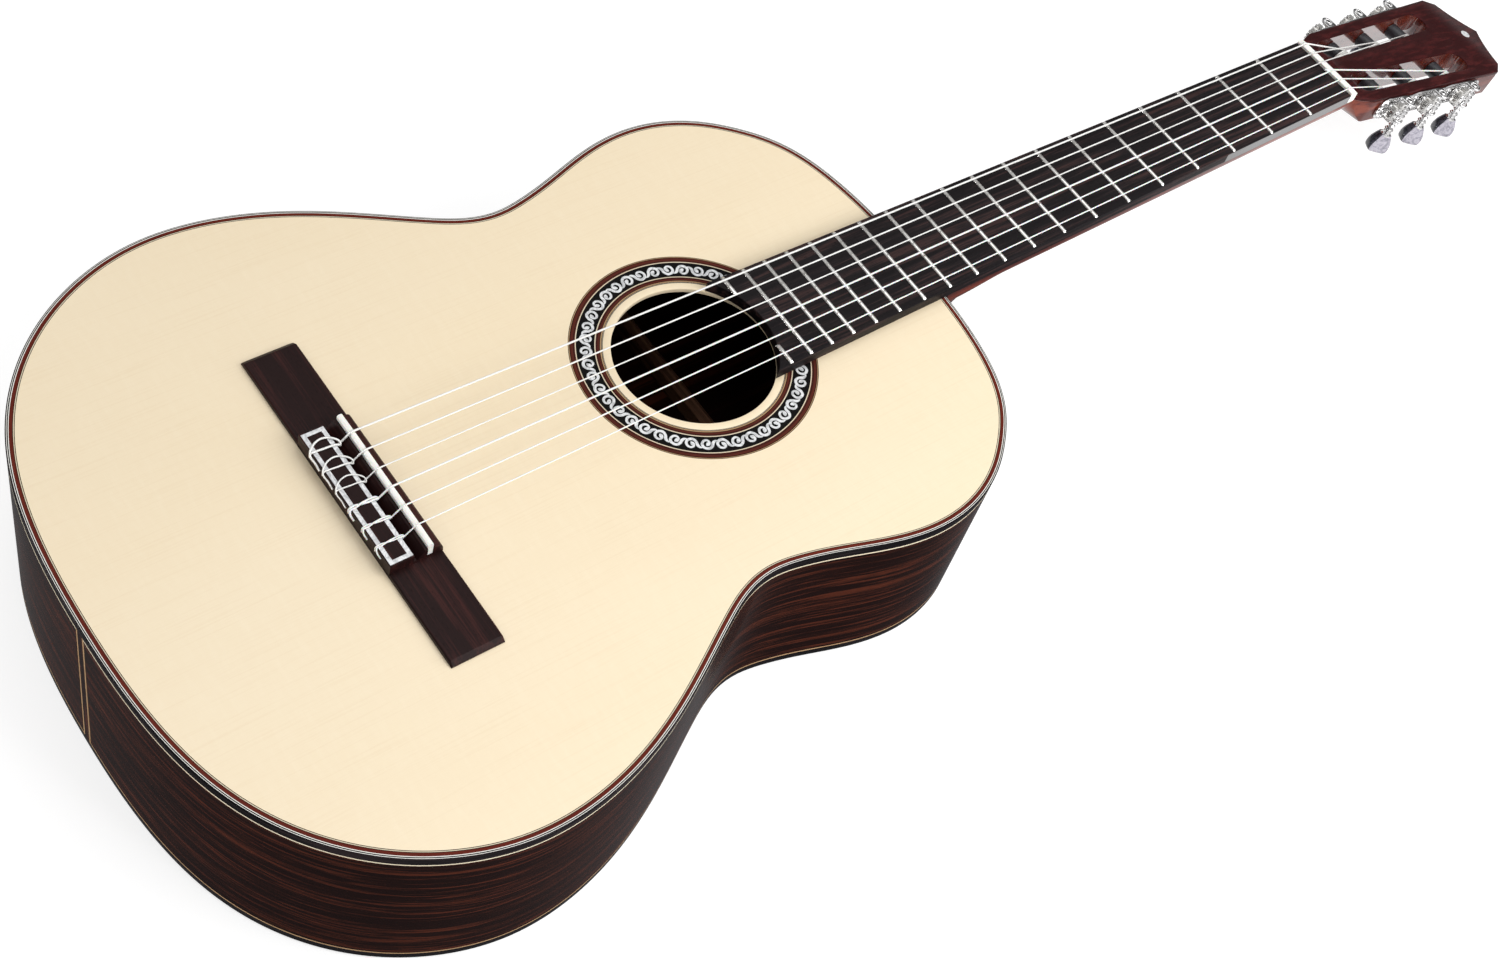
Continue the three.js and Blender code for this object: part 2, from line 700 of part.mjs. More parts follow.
function makeFingerboard() {
  const board = slab(fingerboardShape(), GAP, BOARD_TOP, 8);
  const frets = [];
  for (let number = 1; number < FRETS; number++) {
    const half = boardWidth(fretPlace(number)) / 2 - 0.3;
    frets.push(fretBar(fretPlace(number), -half, half));
  }
  // The last fret meets the soundhole's arc, so it is two short pieces.
  const last = fretPlace(FRETS);
  const half = boardWidth(last) / 2 - 0.3;
  const arcHalf = Math.sqrt(SOUNDHOLE.radius ** 2 - (last - FRET.wide / 2 - SOUNDHOLE.y) ** 2) + 1;
  frets.push(fretBar(last, -half, -arcHalf), fretBar(last, arcHalf, half));
  add("fingerboard", joined(board, ...frets), "ebony");
  const nut = [
    [SCALE_LENGTH, GAP],
    [SCALE_LENGTH + NUT_LONG, GAP],
    [SCALE_LENGTH + NUT_LONG, NUT_TOP - 1.2],
    [SCALE_LENGTH + NUT_LONG - 1.5, NUT_TOP - 0.2],
    [SCALE_LENGTH, NUT_TOP],
  ];
  add("nut", bar(nut, -NUT_WIDE / 2, NUT_WIDE / 2), "bone");
}

// ---------------------------------------------------------------- the bridge

function stringX(number, spacing) {
  return (number - 3.5) * spacing;
}

function inlayFrame(grow, z0, z1) {
  const { half, front, back, bar: wide } = INLAY;
  const outline = (inset) => {
    const [x, y0, y1] = [half - inset, back + inset, front - inset];
    return [[-x, y0], [x, y0], [x, y1], [-x, y1]].map(([px, py]) => new THREE.Vector2(px, py));
  };
  const shape = new THREE.Shape(outline(-grow));
  shape.holes.push(new THREE.Path(outline(wide + grow).reverse()));
  return slab(shape, z0, z1);
}

function makeBridge() {
  const { half, front, back, wing, block, lip, tie } = BRIDGE;
  const slotHalf = SADDLE.thick / 2 + GAP;
  const middle = bar(
    [
      [back, GAP],
      [front, GAP],
      [front, wing],
      [slotHalf + 1.9, lip],
      [slotHalf, lip],
      [slotHalf, SADDLE.floor - GAP],
      [-slotHalf, SADDLE.floor - GAP],
      [-slotHalf, lip],
      [-slotHalf - 1.4, lip],
      [CHANNEL.front, CHANNEL.floor],
      [CHANNEL.back, CHANNEL.floor],
      [CHANNEL.back, tie],
      [back + 0.5, tie],
      [back, tie - 0.5],
    ],
    -block,
    block,
  );
  const bevel = 1.4;
  const wings = new THREE.Shape();
  wings.moveTo(-half, back + bevel);
  wings.lineTo(-half + bevel, back);
  wings.lineTo(half - bevel, back);
  wings.lineTo(half, back + bevel);
  wings.lineTo(half, front - bevel);
  wings.lineTo(half - bevel, front);
  wings.lineTo(-half + bevel, front);
  wings.lineTo(-half, front - bevel);
  wings.closePath();
  const holes = [1, 2, 3, 4, 5, 6].map((number) =>
    rodAlongY(TIE_HOLE.radius, back - 2, CHANNEL.back + 2, stringX(number, SADDLE_SPACING), TIE_HOLE.z),
  );
  const recess = inlayFrame(GAP / 2, tie - INLAY.thick - GAP, tie + 1);
  const wood = joined(middle, slab(wings, GAP, wing));
  add("bridge", cut(wood, recess, ...holes), "ebony");
  add("tie_block_inlay", inlayFrame(0, tie - INLAY.thick, tie), "bone");
  const edge = SADDLE.thick / 2;
  const saddle = [
    [-edge, SADDLE.floor],
    [edge, SADDLE.floor],
    [edge, SADDLE_TOP - 0.7],
    [0.5, SADDLE_TOP],
    [-0.5, SADDLE_TOP],
    [-edge, SADDLE_TOP - 1.2],
  ];
  add("saddle", bar(saddle, -SADDLE.half, SADDLE.half), "bone");
}

// ---------------------------------------------------------------- the strings

// Each string is one length: over the tie block, through its hole, over the saddle and the nut, and
// two turns round its roller.
function stringRoute(number) {
  const radius = STRING_DIAMETERS[number - 1] / 2;
  const side = number > 3 ? 1 : -1;
  const frame = bankFrame(side);
  const place = rollerPlaces[side > 0 ? 6 - number : number - 1];
  const xSaddle = stringX(number, SADDLE_SPACING);
  const xNut = stringX(number, NUT_SPACING);
  const over = BRIDGE.tie + GAP + radius;
  const behind = BRIDGE.back - 0.5 - radius;
  const points = [
    [xSaddle + 3.2, CHANNEL.back, over],
    [xSaddle + 2.6, BRIDGE.back, over],
    [xSaddle + 1.8, behind, over - 0.6],
    [xSaddle + 0.6, behind - 0.3, TIE_HOLE.z + 0.9],
    [xSaddle, BRIDGE.back, TIE_HOLE.z],
    [xSaddle, CHANNEL.back, TIE_HOLE.z],
    [xSaddle, -1.2, SADDLE_TOP + STRING_REST + radius - 0.4],
    [xSaddle, 0.4, SADDLE_TOP + STRING_REST + radius],
    [xNut, SCALE_LENGTH, NUT_TOP + STRING_REST + radius],
    [xNut, SCALE_LENGTH + 3.5, NUT_TOP + STRING_REST + radius - 0.05],
  ].map(([x, y, z]) => new THREE.Vector3(x, y, z));
  const leave = points.at(-1).clone().applyMatrix4(frame.clone().invert());
  const winding = ROLLER.barrel + radius + 1;
  const [run, drop] = [place - leave.y, ROLLER_DEPTH - leave.z];
  const meet = -(Math.atan2(drop, run) + Math.asin(winding / Math.hypot(run, drop)));
  const perTurn = 8;
  const turns = 2;
  const rise = 2 * radius + 0.25;
  for (let step = 0; step <= turns * perTurn; step++) {
    const angle = meet + (step / perTurn) * 2 * Math.PI;
    const x = STRING_AT_ROLLER[number - 1] - BANK.x + (rise * step) / perTurn;
    const y = place + winding * Math.sin(angle);
    const z = ROLLER_DEPTH + winding * Math.cos(angle);
    points.push(new THREE.Vector3(x, y, z).applyMatrix4(frame));
  }
  return points;
}

function makeStrings() {
  for (let number = 1; number <= 6; number++) {
    const section = ring(STRING_DIAMETERS[number - 1] / 2, 5);
    add(`string_${number}`, welded(swept(stringRoute(number), section)), number > 3 ? "nylon" : "wound");
  }
}

// ---------------------------------------------------------------- the tuners

// The plate carries two ears for each worm, each ear with a bearing hole.
function tunerPlate() {
  const sheet = box([PLATE.in, PLATE.out], [PLATE.start, PLATE.end], [PLATE.low, PLATE.high]);
  const worm = (GEAR.from + GEAR.to) / 2;
  const ears = rollerPlaces.flatMap((place) => {
    const across = [place + WORM_OFFSET - EAR.half, place + WORM_OFFSET + EAR.half];
    const out = [PLATE.out - 0.5, worm + EAR.reach];
    return [
      box(out, across, [PLATE.high - EAR.thick, PLATE.high]),
      box(out, across, [PLATE.low, PLATE.low + EAR.thick]),
    ];
  });
  const bearings = rollerPlaces.map((place) =>
    turnedAlongZ([[0, -25], [EAR.hole, -25], [EAR.hole, 5], [0, 5]], 8).translate(
      worm,
      place + WORM_OFFSET,
      0,
    ),
  );
  const shaftHoles = rollerPlaces.map((place) =>
    rodAlongX(ROLLER.shaft + RUN, PLATE.in - 5, PLATE.out + 5, place, ROLLER_DEPTH),
  );
  return cut(joined(sheet, ...ears), ...bearings, ...shaftHoles);
}

// A roller turns about its own x axis: pin, barrel, shaft and the spigot that holds its gear.
function roller() {
  const { barrel, half, pin, pinEnd, shaft, spigot } = ROLLER;
  const profile = [
    [0, pinEnd],
    [pin, pinEnd],
    [pin, -half],
    [barrel, -half],
    [barrel, half],
    [shaft, half],
    [shaft, GEAR.from - GAP],
    [spigot, GEAR.from - GAP],
    [spigot, GEAR.to + 0.6],
    [0, GEAR.to + 0.6],
  ];
  return welded(turnedAlongX(profile, 10));
}

// A straight-cut gear about the x axis, with one tooth pointing straight at the worm.
function gear() {
  const { teeth, tip, root, bore, from, to } = GEAR;
  const outline = [];
  for (let tooth = 0; tooth < teeth; tooth++) {
    const middle = (tooth / teeth) * 2 * Math.PI;
    for (const [radius, halfWide] of [[root, -0.75], [tip, -0.3], [tip, 0.3], [root, 0.75]]) {
      const angle = middle + halfWide / radius;
      outline.push(new THREE.Vector2(radius * Math.cos(angle), radius * Math.sin(angle)));
    }
  }
  const shape = new THREE.Shape(outline);
  shape.holes.push(new THREE.Path(ring(bore, 8).reverse()));
  const blank = slab(shape, from, to);
  const axes = new THREE.Matrix4().makeBasis(
    new THREE.Vector3(0, 1, 0),
    new THREE.Vector3(0, 0, 1),
    new THREE.Vector3(1, 0, 0),
  );
  return welded(blank.applyMatrix4(axes));
}

// A worm turns about its own z axis. Its single thread leaves the middle of a gap facing the gear's
// centre, so that the gear's nearest tooth stands between two turns of the thread.
function worm() {
  const { tip, root, high, low, top, end } = WORM;
  const shaft = welded(turnedAlongZ([[0, end], [root, end], [root, top], [0, top]], 8));
  const lead = (2 * Math.PI * GEAR.pitch) / GEAR.teeth;
  const perTurn = 8;
  const steps = Math.round(((high - low) / lead) * perTurn);
  const middle = (high + low) / 2;
  const towardsGear = -Math.PI / 2;
  const loops = [];
  for (let step = 0; step <= steps; step++) {
    const turn = (step - steps / 2) / perTurn;
    const angle = towardsGear + (turn + 0.5) * 2 * Math.PI;
    const z = middle + turn * lead;
    const corners = [[root - 0.4, -0.75], [tip, -0.25], [tip, 0.25], [root - 0.4, 0.75]];
    loops.push(
      corners.map(([r, along]) => new THREE.Vector3(r * Math.cos(angle), r * Math.sin(angle), z + along)),
    );
  }
  return joined(shaft, loft(loops));
}

// A button is an oval, turned and then flattened.
function button() {
  const { top, bottom, half, flatness } = BUTTON;
  const long = top - bottom;
  const profile = [
    [0, bottom],
    [0.6 * half, bottom + 0.04 * long],
    [0.92 * half, bottom + 0.24 * long],
    [half, bottom + 0.5 * long],
    [0.82 * half, bottom + 0.8 * long],
    [0.5 * half, top],
    [0, top],
  ];
  return welded(turnedAlongZ(profile, 12).scale(flatness, 1, 1));
}

// Rollers, gears, worms and buttons share their strings' numbers.
function makeTuners() {
  const wormX = (GEAR.from + GEAR.to) / 2;
  for (const side of [1, -1]) {
    const bank = new THREE.Group();
    bankFrame(side).decompose(bank.position, bank.quaternion, bank.scale);
    guitar.add(bank);
    add(side > 0 ? "tuner_plate_treble" : "tuner_plate_bass", tunerPlate(), "nickel", bank);
    rollerPlaces.forEach((place, i) => {
      const number = side > 0 ? 6 - i : i + 1;
      const turning = new THREE.Group();
      turning.position.set(0, place, ROLLER_DEPTH);
      const driving = new THREE.Group();
      driving.position.set(wormX, place + WORM_OFFSET, 0);
      bank.add(turning, driving);
      add(`roller_${number}`, roller(), "rollerPlastic", turning);
      add(`gear_${number}`, gear(), "steel", turning);
      add(`worm_${number}`, worm(), "nickel", driving);
      add(`button_${number}`, button(), "pearl", driving);
    });
  }
}

// ---------------------------------------------------------------- the whole guitar

makeSoundboard();
makeBack();
makeSides();
makeBindings();
makeLinings();
makeEndBlock();
makeBars();
makeFanBraces();
makeNeck();
makeFingerboard();
makeBridge();
makeStrings();
makeTuners();

// Lay the flat back on the ground, with the origin under the middle of the whole length.
guitar.rotation.x = -TAPER;
const extent = new THREE.Box3().setFromObject(guitar, true);
const centre = extent.getCenter(new THREE.Vector3());
guitar.position.set(-centre.x, -centre.y, -extent.min.z);

export default guitar;
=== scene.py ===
"""The finished looks of a classical guitar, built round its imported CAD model.

Lengths are in millimetres in three frames: the soundboard's (x across, y from the saddle to the head,
z out of the wood), the head's (the same on the tilted face of the head) and each tuner's (x outwards
along its roller, y along the bank, z out of the head's face). Every frame is worked out from the model.
"""

import json
import math

import bmesh
import bpy
import numpy as np
from mathutils import Matrix, Vector


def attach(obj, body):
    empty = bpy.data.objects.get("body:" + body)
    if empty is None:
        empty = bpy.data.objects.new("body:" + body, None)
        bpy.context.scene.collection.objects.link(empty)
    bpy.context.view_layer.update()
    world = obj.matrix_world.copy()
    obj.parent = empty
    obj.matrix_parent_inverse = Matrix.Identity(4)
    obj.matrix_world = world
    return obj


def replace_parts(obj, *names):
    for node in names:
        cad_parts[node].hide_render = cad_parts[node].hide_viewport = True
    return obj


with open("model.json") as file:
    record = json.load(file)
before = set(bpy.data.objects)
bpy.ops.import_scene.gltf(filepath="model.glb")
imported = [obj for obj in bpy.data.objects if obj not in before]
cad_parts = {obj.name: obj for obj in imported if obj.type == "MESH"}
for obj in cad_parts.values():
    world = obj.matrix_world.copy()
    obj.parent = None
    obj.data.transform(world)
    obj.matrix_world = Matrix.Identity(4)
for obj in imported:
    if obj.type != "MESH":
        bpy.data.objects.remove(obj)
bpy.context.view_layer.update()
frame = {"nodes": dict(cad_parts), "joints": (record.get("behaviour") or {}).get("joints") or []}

MM = 0.001
STRINGS = range(1, 7)  # 1 is the lowest string, on the bass side
SIDES = {"treble": 1, "bass": -1}
JOINTS = {joint["name"]: joint for joint in frame["joints"]}

# ---------------------------------------------------------------- frames


def corners_of(node):
    return [v.co.copy() for v in frame["nodes"][node].data.vertices]


def frame_matrix(origin, x, y, z):
    rotation = Matrix((x, y, z)).transposed().to_4x4()
    return Matrix.Translation(origin) @ rotation @ Matrix.Scale(MM, 4)


def soundboard_frame():
    corners = corners_of("soundboard")
    tail, neck = max(corners, key=lambda p: p.z), max(corners, key=lambda p: p.y)
    across, along = Vector((1, 0, 0)), (neck - tail).normalized()
    up = across.cross(along)
    saddle = [p.dot(along) for p in corners_of("saddle")]
    origin = along * (min(saddle) + max(saddle)) / 2 + up * tail.dot(up)
    return frame_matrix(origin, across, along, up)


def head_frame():
    across, up = Vector((1, 0, 0)), Vector(JOINTS["tuner_1_turn"]["axis"])
    along = up.cross(across)
    face = corners_of("head_faceplate")
    origin = along * min(p.dot(along) for p in face) + up * max(p.dot(up) for p in face)
    return frame_matrix(origin, across, along, up)


def tuner_frame(number):
    """Its origin is the middle of a roller. The bass bank mirrors the treble bank."""
    roller = JOINTS[f"capstan_{number}_turn"]
    out, up = Vector(roller["axis"]), Vector(JOINTS[f"tuner_{number}_turn"]["axis"])
    along = up.cross(out) * math.copysign(1, out.x)
    return frame_matrix(Vector(roller["pos_m"]), out, along, up)


def measure(node, place):
    """A CAD node's lowest and highest corners in a frame."""
    inverse = place.inverted()
    points = np.array([inverse @ p for p in corners_of(node)])
    return Vector(points.min(0)), Vector(points.max(0))


BOARD = soundboard_frame()
HEAD = head_frame()
TUNERS = {number: tuner_frame(number) for number in STRINGS}

# ---------------------------------------------------------------- sizes

NUT_LO, NUT_HI = measure("nut", BOARD)
SCALE_LENGTH = round(NUT_LO.y)
BODY_JOINT = SCALE_LENGTH / 2
SOUNDBOARD_THICK = -measure("soundboard", BOARD)[0].z
BINDING_LO = measure("top_binding", BOARD)[0]
TAIL = BINDING_LO.y
BINDING_DEEP = -BINDING_LO.z
BINDING_WIDE = 1.9
SIDE_THICK = 2.2
BACK_THICK = 2.8
ROSETTE_LO, ROSETTE_HI = measure("rosette", BOARD)
ROSETTE_RADIUS = ROSETTE_HI.x
HOLE_Y = (ROSETTE_LO.y + ROSETTE_HI.y) / 2
HOLE_RADIUS = 42.4
BRIDGE_LO, BRIDGE_HI = measure("bridge", BOARD)
SADDLE_LO, SADDLE_HI = measure("saddle", BOARD)
INLAY_LO, INLAY_HI = measure("tie_block_inlay", BOARD)
BOARD_LO, BOARD_HI = measure("fingerboard", BOARD)
FRET_TALL = 1
BOARD_TOP = BOARD_HI.z - FRET_TALL
HEAD_LENGTH = measure("head_faceplate", HEAD)[1].y
HEAD_THICK = 18.5
FACE_THICK = 2.4
BACK_AT_TAIL, BACK_AT_NECK = -105, -97
BODY_LENGTH = 474.4
BACK_SLOPE = (BACK_AT_NECK - BACK_AT_TAIL) / BODY_LENGTH


def back_height(y):
    """The back's outer face, under the soundboard."""
    return BACK_AT_TAIL + (y - TAIL) * BACK_SLOPE


# ---------------------------------------------------------------- node trees


def node(tree, kind, inputs=None, **settings):
    made = tree.nodes.new("ShaderNode" + kind)
    for key, value in settings.items():
        setattr(made, key, value)
    for key, value in (inputs or {}).items():
        if isinstance(value, bpy.types.NodeSocket):
            tree.links.new(value, made.inputs[key])
        else:
            made.inputs[key].default_value = value
    return made


def math_node(tree, operation, first, second=0.0):
    return node(tree, "Math", {0: first, 1: second}, operation=operation).outputs[0]


def ramp(tree, factor, *stops):
    """A colour ramp of (place, colour) stops."""
    made = node(tree, "ValToRGB", {0: factor})
    elements = made.color_ramp.elements
    while len(elements) < len(stops):
        elements.new(0.5)
    for element, (place, colour) in zip(elements, stops):
        element.position = place
        element.color = (*colour, 1)
    return made.outputs[0]


def mixed(tree, factor, first, second, blend="MIX"):
    made = node(tree, "Mix", data_type="RGBA", blend_type=blend)
    for index, value in ((0, factor), (6, first), (7, second)):
        if isinstance(value, bpy.types.NodeSocket):
            tree.links.new(value, made.inputs[index])
        else:
            made.inputs[index].default_value = value if index == 0 else (*value, 1)
    return made.outputs[2]


def coordinates(tree, source="object", stretch=(1, 1, 1), bookmatched=False):
    """Where a point of the surface is, in millimetres times stretch.

    The source is the object, or "along": the way along a bent or wound piece, round it and into it.
    """
    if source == "object":
        place = node(tree, "TexCoord").outputs["Object"]
        place = node(tree, "VectorMath", {0: place, 3: 1 / MM}, operation="SCALE").outputs[0]
    else:
        place = node(tree, "Attribute", attribute_name=source).outputs["Vector"]
    if bookmatched:
        apart = node(tree, "SeparateXYZ", {0: place})
        x = math_node(tree, "ABSOLUTE", apart.outputs[0])
        place = node(tree, "CombineXYZ", {0: x, 1: apart.outputs[1], 2: apart.outputs[2]}).outputs[0]
    return node(tree, "VectorMath", {0: place, 1: stretch}, operation="MULTIPLY").outputs[0]


def noise(tree, place, scale, detail=3, roughness=0.5, distortion=0):
    values = {"Scale": scale, "Detail": detail, "Roughness": roughness, "Distortion": distortion}
    return node(tree, "TexNoise", {"Vector": place, **values}).outputs["Fac"]


def spread(tree, value, low, high, new_low=0.0, new_high=1.0):
    values = {1: low, 2: high, 3: new_low, 4: new_high}
    return node(tree, "MapRange", {0: value, **values}).outputs[0]


def bumped(tree, height, distance, strength=1.0):
    """distance is the height of the bumps in millimetres."""
    values = {"Height": height, "Distance": distance * MM, "Strength": strength}
    return node(tree, "Bump", values).outputs["Normal"]


MATERIALS = {}


def new_tree(name):
    material = bpy.data.materials.new(name)
    material.use_nodes = True
    material.node_tree.nodes.clear()
    MATERIALS[name] = material
    return material.node_tree


def finish(name, colour, roughness, normal, **values):
    """Ends a material's tree with a shader: its sockets or numbers."""
    material = MATERIALS[name]
    tree = material.node_tree
    inputs = {"Base Color": colour, "Roughness": roughness, "Normal": normal}
    for key, value in values.items():
        inputs[key.replace("_", " ")] = value
    shader = node(tree, "BsdfPrincipled", inputs)
    output = node(tree, "OutputMaterial", {"Surface": shader.outputs[0]})
    output.is_active_output = True
    return material


# ---------------------------------------------------------------- materials


def spruce():
    """Straight, even growth lines, mirrored at the centre joint, with faint cross silk."""
    tree = new_tree("spruce")
    wide = coordinates(tree, stretch=(1, 0.02, 1), bookmatched=True)
    waver = noise(tree, wide, 0.035, detail=2)
    lines = coordinates(tree, stretch=(1, 0.006, 1), bookmatched=True)
    moved = node(tree, "VectorMath", {0: lines, 1: waver}, operation="ADD").outputs[0]
    growth = noise(tree, moved, 1.1, detail=2, roughness=0.4)
    dark_line = spread(tree, growth, 0.52, 0.72)
    fibre = noise(tree, coordinates(tree, stretch=(1, 0.03, 1)), 6, detail=2)
    silk = noise(tree, coordinates(tree, stretch=(0.25, 1, 1)), 0.35, detail=4, roughness=0.6)
    patches = noise(tree, coordinates(tree, stretch=(1, 0.35, 1)), 0.008, detail=2)
    base = mixed(tree, patches, (0.87, 0.72, 0.49), (0.92, 0.79, 0.58))
    lined = mixed(tree, math_node(tree, "MULTIPLY", dark_line, 0.13), base, (0.74, 0.55, 0.32))
    silky = mixed(tree, spread(tree, silk, 0.45, 0.75, 0, 0.16), lined, (0.97, 0.86, 0.66))
    colour = mixed(tree, spread(tree, fibre, 0.3, 0.8, 0, 0.07), silky, (0.72, 0.50, 0.27))
    roughness = spread(tree, growth, 0.3, 0.7, 0.52, 0.44)
    height = math_node(tree, "SUBTRACT", fibre, dark_line)
    normal = bumped(tree, height, 0.006, 0.5)
    return finish("spruce", colour, roughness, normal, Coat_Weight=0.25, Coat_Roughness=0.08)


def dark_wood(name, source, grain, colours, streak, coat=0.0, gloss=0.3, pores=0.6, ior=1.25, lacquer=1.5):
    """A hardwood: wide streaks, narrow streaks inside them, and short dark pores along the grain.

    grain is how much each axis counts: small along the grain. colours go from the darkest to the lightest.
    """
    tree = new_tree(name)
    figure = 0.4  # how much the narrow streaks count
    along = coordinates(tree, source, grain)
    bend = noise(tree, along, 0.03, detail=2)
    bent = node(tree, "VectorMath", {0: along, 1: bend}, operation="ADD").outputs[0]
    wide = noise(tree, bent, streak, detail=4, roughness=0.55, distortion=0.6)
    narrow = noise(tree, bent, streak * 6, detail=5, roughness=0.65)
    both = math_node(tree, "ADD", wide, math_node(tree, "MULTIPLY", narrow, figure))
    level = spread(tree, both, 0.42 + figure * 0.42, 0.60 + figure * 0.6)
    dark, middle, light = colours
    colour = ramp(tree, level, (0.0, dark), (0.35, dark), (0.62, middle), (1.0, light))
    short = tuple(0.06 + 3 * value if value < 0.3 else value for value in grain)
    pore = noise(tree, coordinates(tree, source, short), 2.6, detail=2, roughness=0.5)
    pore = spread(tree, pore, 0.60, 0.72)
    in_pore = tuple(part * 0.3 for part in dark)
    colour = mixed(tree, math_node(tree, "MULTIPLY", pore, pores), colour, in_pore)
    roughness = spread(tree, pore, 0, 1, gloss, gloss + 0.25)
    height = math_node(tree, "SUBTRACT", math_node(tree, "MULTIPLY", narrow, 0.4), pore)
    normal = bumped(tree, height, 0.02, 0.35)
    coats = {"Coat_Weight": coat, "Coat_Roughness": 0.04, "Coat_IOR": lacquer}
    return finish(name, colour, roughness, normal, IOR=ior, **coats)


def bone():
    tree = new_tree("bone")
    place = coordinates(tree, stretch=(0.2, 1, 1))
    cloud = noise(tree, place, 0.25, detail=4)
    speck = spread(tree, noise(tree, place, 3, detail=2), 0.62, 0.7)
    colour = mixed(tree, cloud, (0.90, 0.885, 0.82), (0.97, 0.965, 0.94))
    colour = mixed(tree, math_node(tree, "MULTIPLY", speck, 0.25), colour, (0.62, 0.55, 0.42))
    roughness = spread(tree, cloud, 0.3, 0.7, 0.24, 0.38)
    normal = bumped(tree, noise(tree, place, 2, detail=3), 0.01, 0.4)
    return finish("bone", colour, roughness, normal, Subsurface_Weight=0.12, Subsurface_Scale=0.002)


def veneer(name, dark, light):
    """A narrow line of dyed or plain veneer under the lacquer."""
    tree = new_tree(name)
    fibre = noise(tree, coordinates(tree, "along", (0.06, 2.5, 2.5)), 1.2, detail=4, roughness=0.6)
    tone = noise(tree, coordinates(tree, "along", (0.02, 1, 1)), 0.5, detail=2)
    shares = [math_node(tree, "MULTIPLY", value, share) for value, share in ((fibre, 0.7), (tone, 0.3))]
    level = math_node(tree, "ADD", *shares)
    colour = mixed(tree, spread(tree, level, 0.3, 0.7), dark, light)
    roughness = spread(tree, fibre, 0.3, 0.7, 0.25, 0.37)
    normal = bumped(tree, fibre, 0.01, 0.3)
    return finish(name, colour, roughness, normal, IOR=1.12)


def metal(name, dark, light, smooth, worn, brushed=(1, 1, 1), scratch=0.004):
    """Plated or cut metal: soft clouding, fine rubbing marks, and a little tarnish in patches."""
    tree = new_tree(name)
    place = coordinates(tree)
    cloud = noise(tree, place, 0.22, detail=5, roughness=0.6)
    rub = noise(tree, coordinates(tree, stretch=brushed), 5, detail=4, roughness=0.7)
    colour = mixed(tree, spread(tree, cloud, 0.35, 0.7), light, dark)
    level = math_node(tree, "MULTIPLY", cloud, rub)
    roughness = spread(tree, level, 0.12, 0.4, smooth, worn)
    return finish(name, colour, roughness, bumped(tree, rub, scratch, 0.4), Metallic=1.0)


def wound_string():
    """Silver-plated wire wound round the string: fine ridges along it."""
    tree = new_tree("wound_string")
    apart = node(tree, "SeparateXYZ", {0: coordinates(tree, "along")})
    wire = 0.28  # as thick as this
    turns = math_node(tree, "SINE", math_node(tree, "MULTIPLY", apart.outputs[0], 2 * math.pi / wire))
    cloud = noise(tree, coordinates(tree, "along", (0.3, 1, 1)), 0.5, detail=3)
    colour = mixed(tree, cloud, (0.90, 0.89, 0.86), (0.98, 0.975, 0.96))
    roughness = spread(tree, cloud, 0.3, 0.7, 0.30, 0.46)
    return finish("wound_string", colour, roughness, bumped(tree, turns, 0.04, 0.5), Metallic=0.4)


def nylon_string():
    tree = new_tree("nylon_string")
    cloud = noise(tree, coordinates(tree, "along", (0.05, 1, 1)), 1, detail=3)
    colour = mixed(tree, cloud, (0.93, 0.93, 0.91), (0.98, 0.98, 0.96))
    roughness = spread(tree, cloud, 0.3, 0.7, 0.14, 0.24)
    depth = {"Transmission_Weight": 0.1, "Subsurface_Weight": 0.2, "Subsurface_Scale": 0.001}
    return finish("nylon_string", colour, roughness, bumped(tree, cloud, 0.01, 0.2), **depth)


def pearl(name, deep, middle, bright):
    """Pearloid: folded silvery sheets in a plain ground."""
    tree = new_tree(name)
    place = coordinates(tree)
    fold = noise(tree, place, 0.16, detail=4, roughness=0.6, distortion=2.5)
    sheet = noise(tree, place, 0.5, detail=3, distortion=1.5)
    colour = ramp(tree, fold, (0.30, deep), (0.46, middle), (0.56, bright), (0.72, middle))
    roughness = spread(tree, sheet, 0.3, 0.7, 0.12, 0.26)
    normal = bumped(tree, sheet, 0.02, 0.2)
    return finish(name, colour, roughness, normal, Coat_Weight=0.8, Coat_Roughness=0.03)


def roller_plastic():
    tree = new_tree("roller_plastic")
    grain = noise(tree, coordinates(tree), 3, detail=4, roughness=0.6)
    cloud = noise(tree, coordinates(tree), 0.3, detail=2)
    colour = mixed(tree, cloud, (0.010, 0.010, 0.013), (0.028, 0.028, 0.034))
    roughness = spread(tree, grain, 0.3, 0.7, 0.22, 0.36)
    return finish("roller_plastic", colour, roughness, bumped(tree, grain, 0.01, 0.4))


# Painted reflection: the floor's glow as seen in glossy surfaces rises along the way to the head.
BRIGHT_FROM = (150, 330)  # where reflections of the floor turn from dim to bright, on the way to the head


def floor_material():
    """A pale floor, lit from below like a light table so that shadows stay faint.

    In reflections it shows a painted reflection: dark, and glowing dim under the body and bright under the
    neck, in place of dark cards round the body.
    """
    tree = new_tree("floor")
    cloud = noise(tree, coordinates(tree), 0.004, detail=2)
    colour = mixed(tree, cloud, (0.42, 0.42, 0.42), (0.44, 0.44, 0.44))
    # Painted reflection: glossy rays see the floor dark, with a glow that grows from the body to the neck.
    mirrored = node(tree, "LightPath").outputs["Is Glossy Ray"]
    seen = mixed(tree, mirrored, colour, (0.05, 0.05, 0.055))
    along = node(tree, "SeparateXYZ", {0: coordinates(tree)}).outputs[1]
    painted_reflection_glow = spread(tree, along, *BRIGHT_FROM, 0.08, 0.95)
    glow = node(tree, "MapRange", {0: mirrored, 1: 0, 2: 1, 3: 0.70, 4: painted_reflection_glow}).outputs[0]
    normal = bumped(tree, cloud, 0.1, 0.1)
    return finish("floor", seen, 0.9, normal, Emission_Color=(1, 1, 1, 1), Emission_Strength=glow)


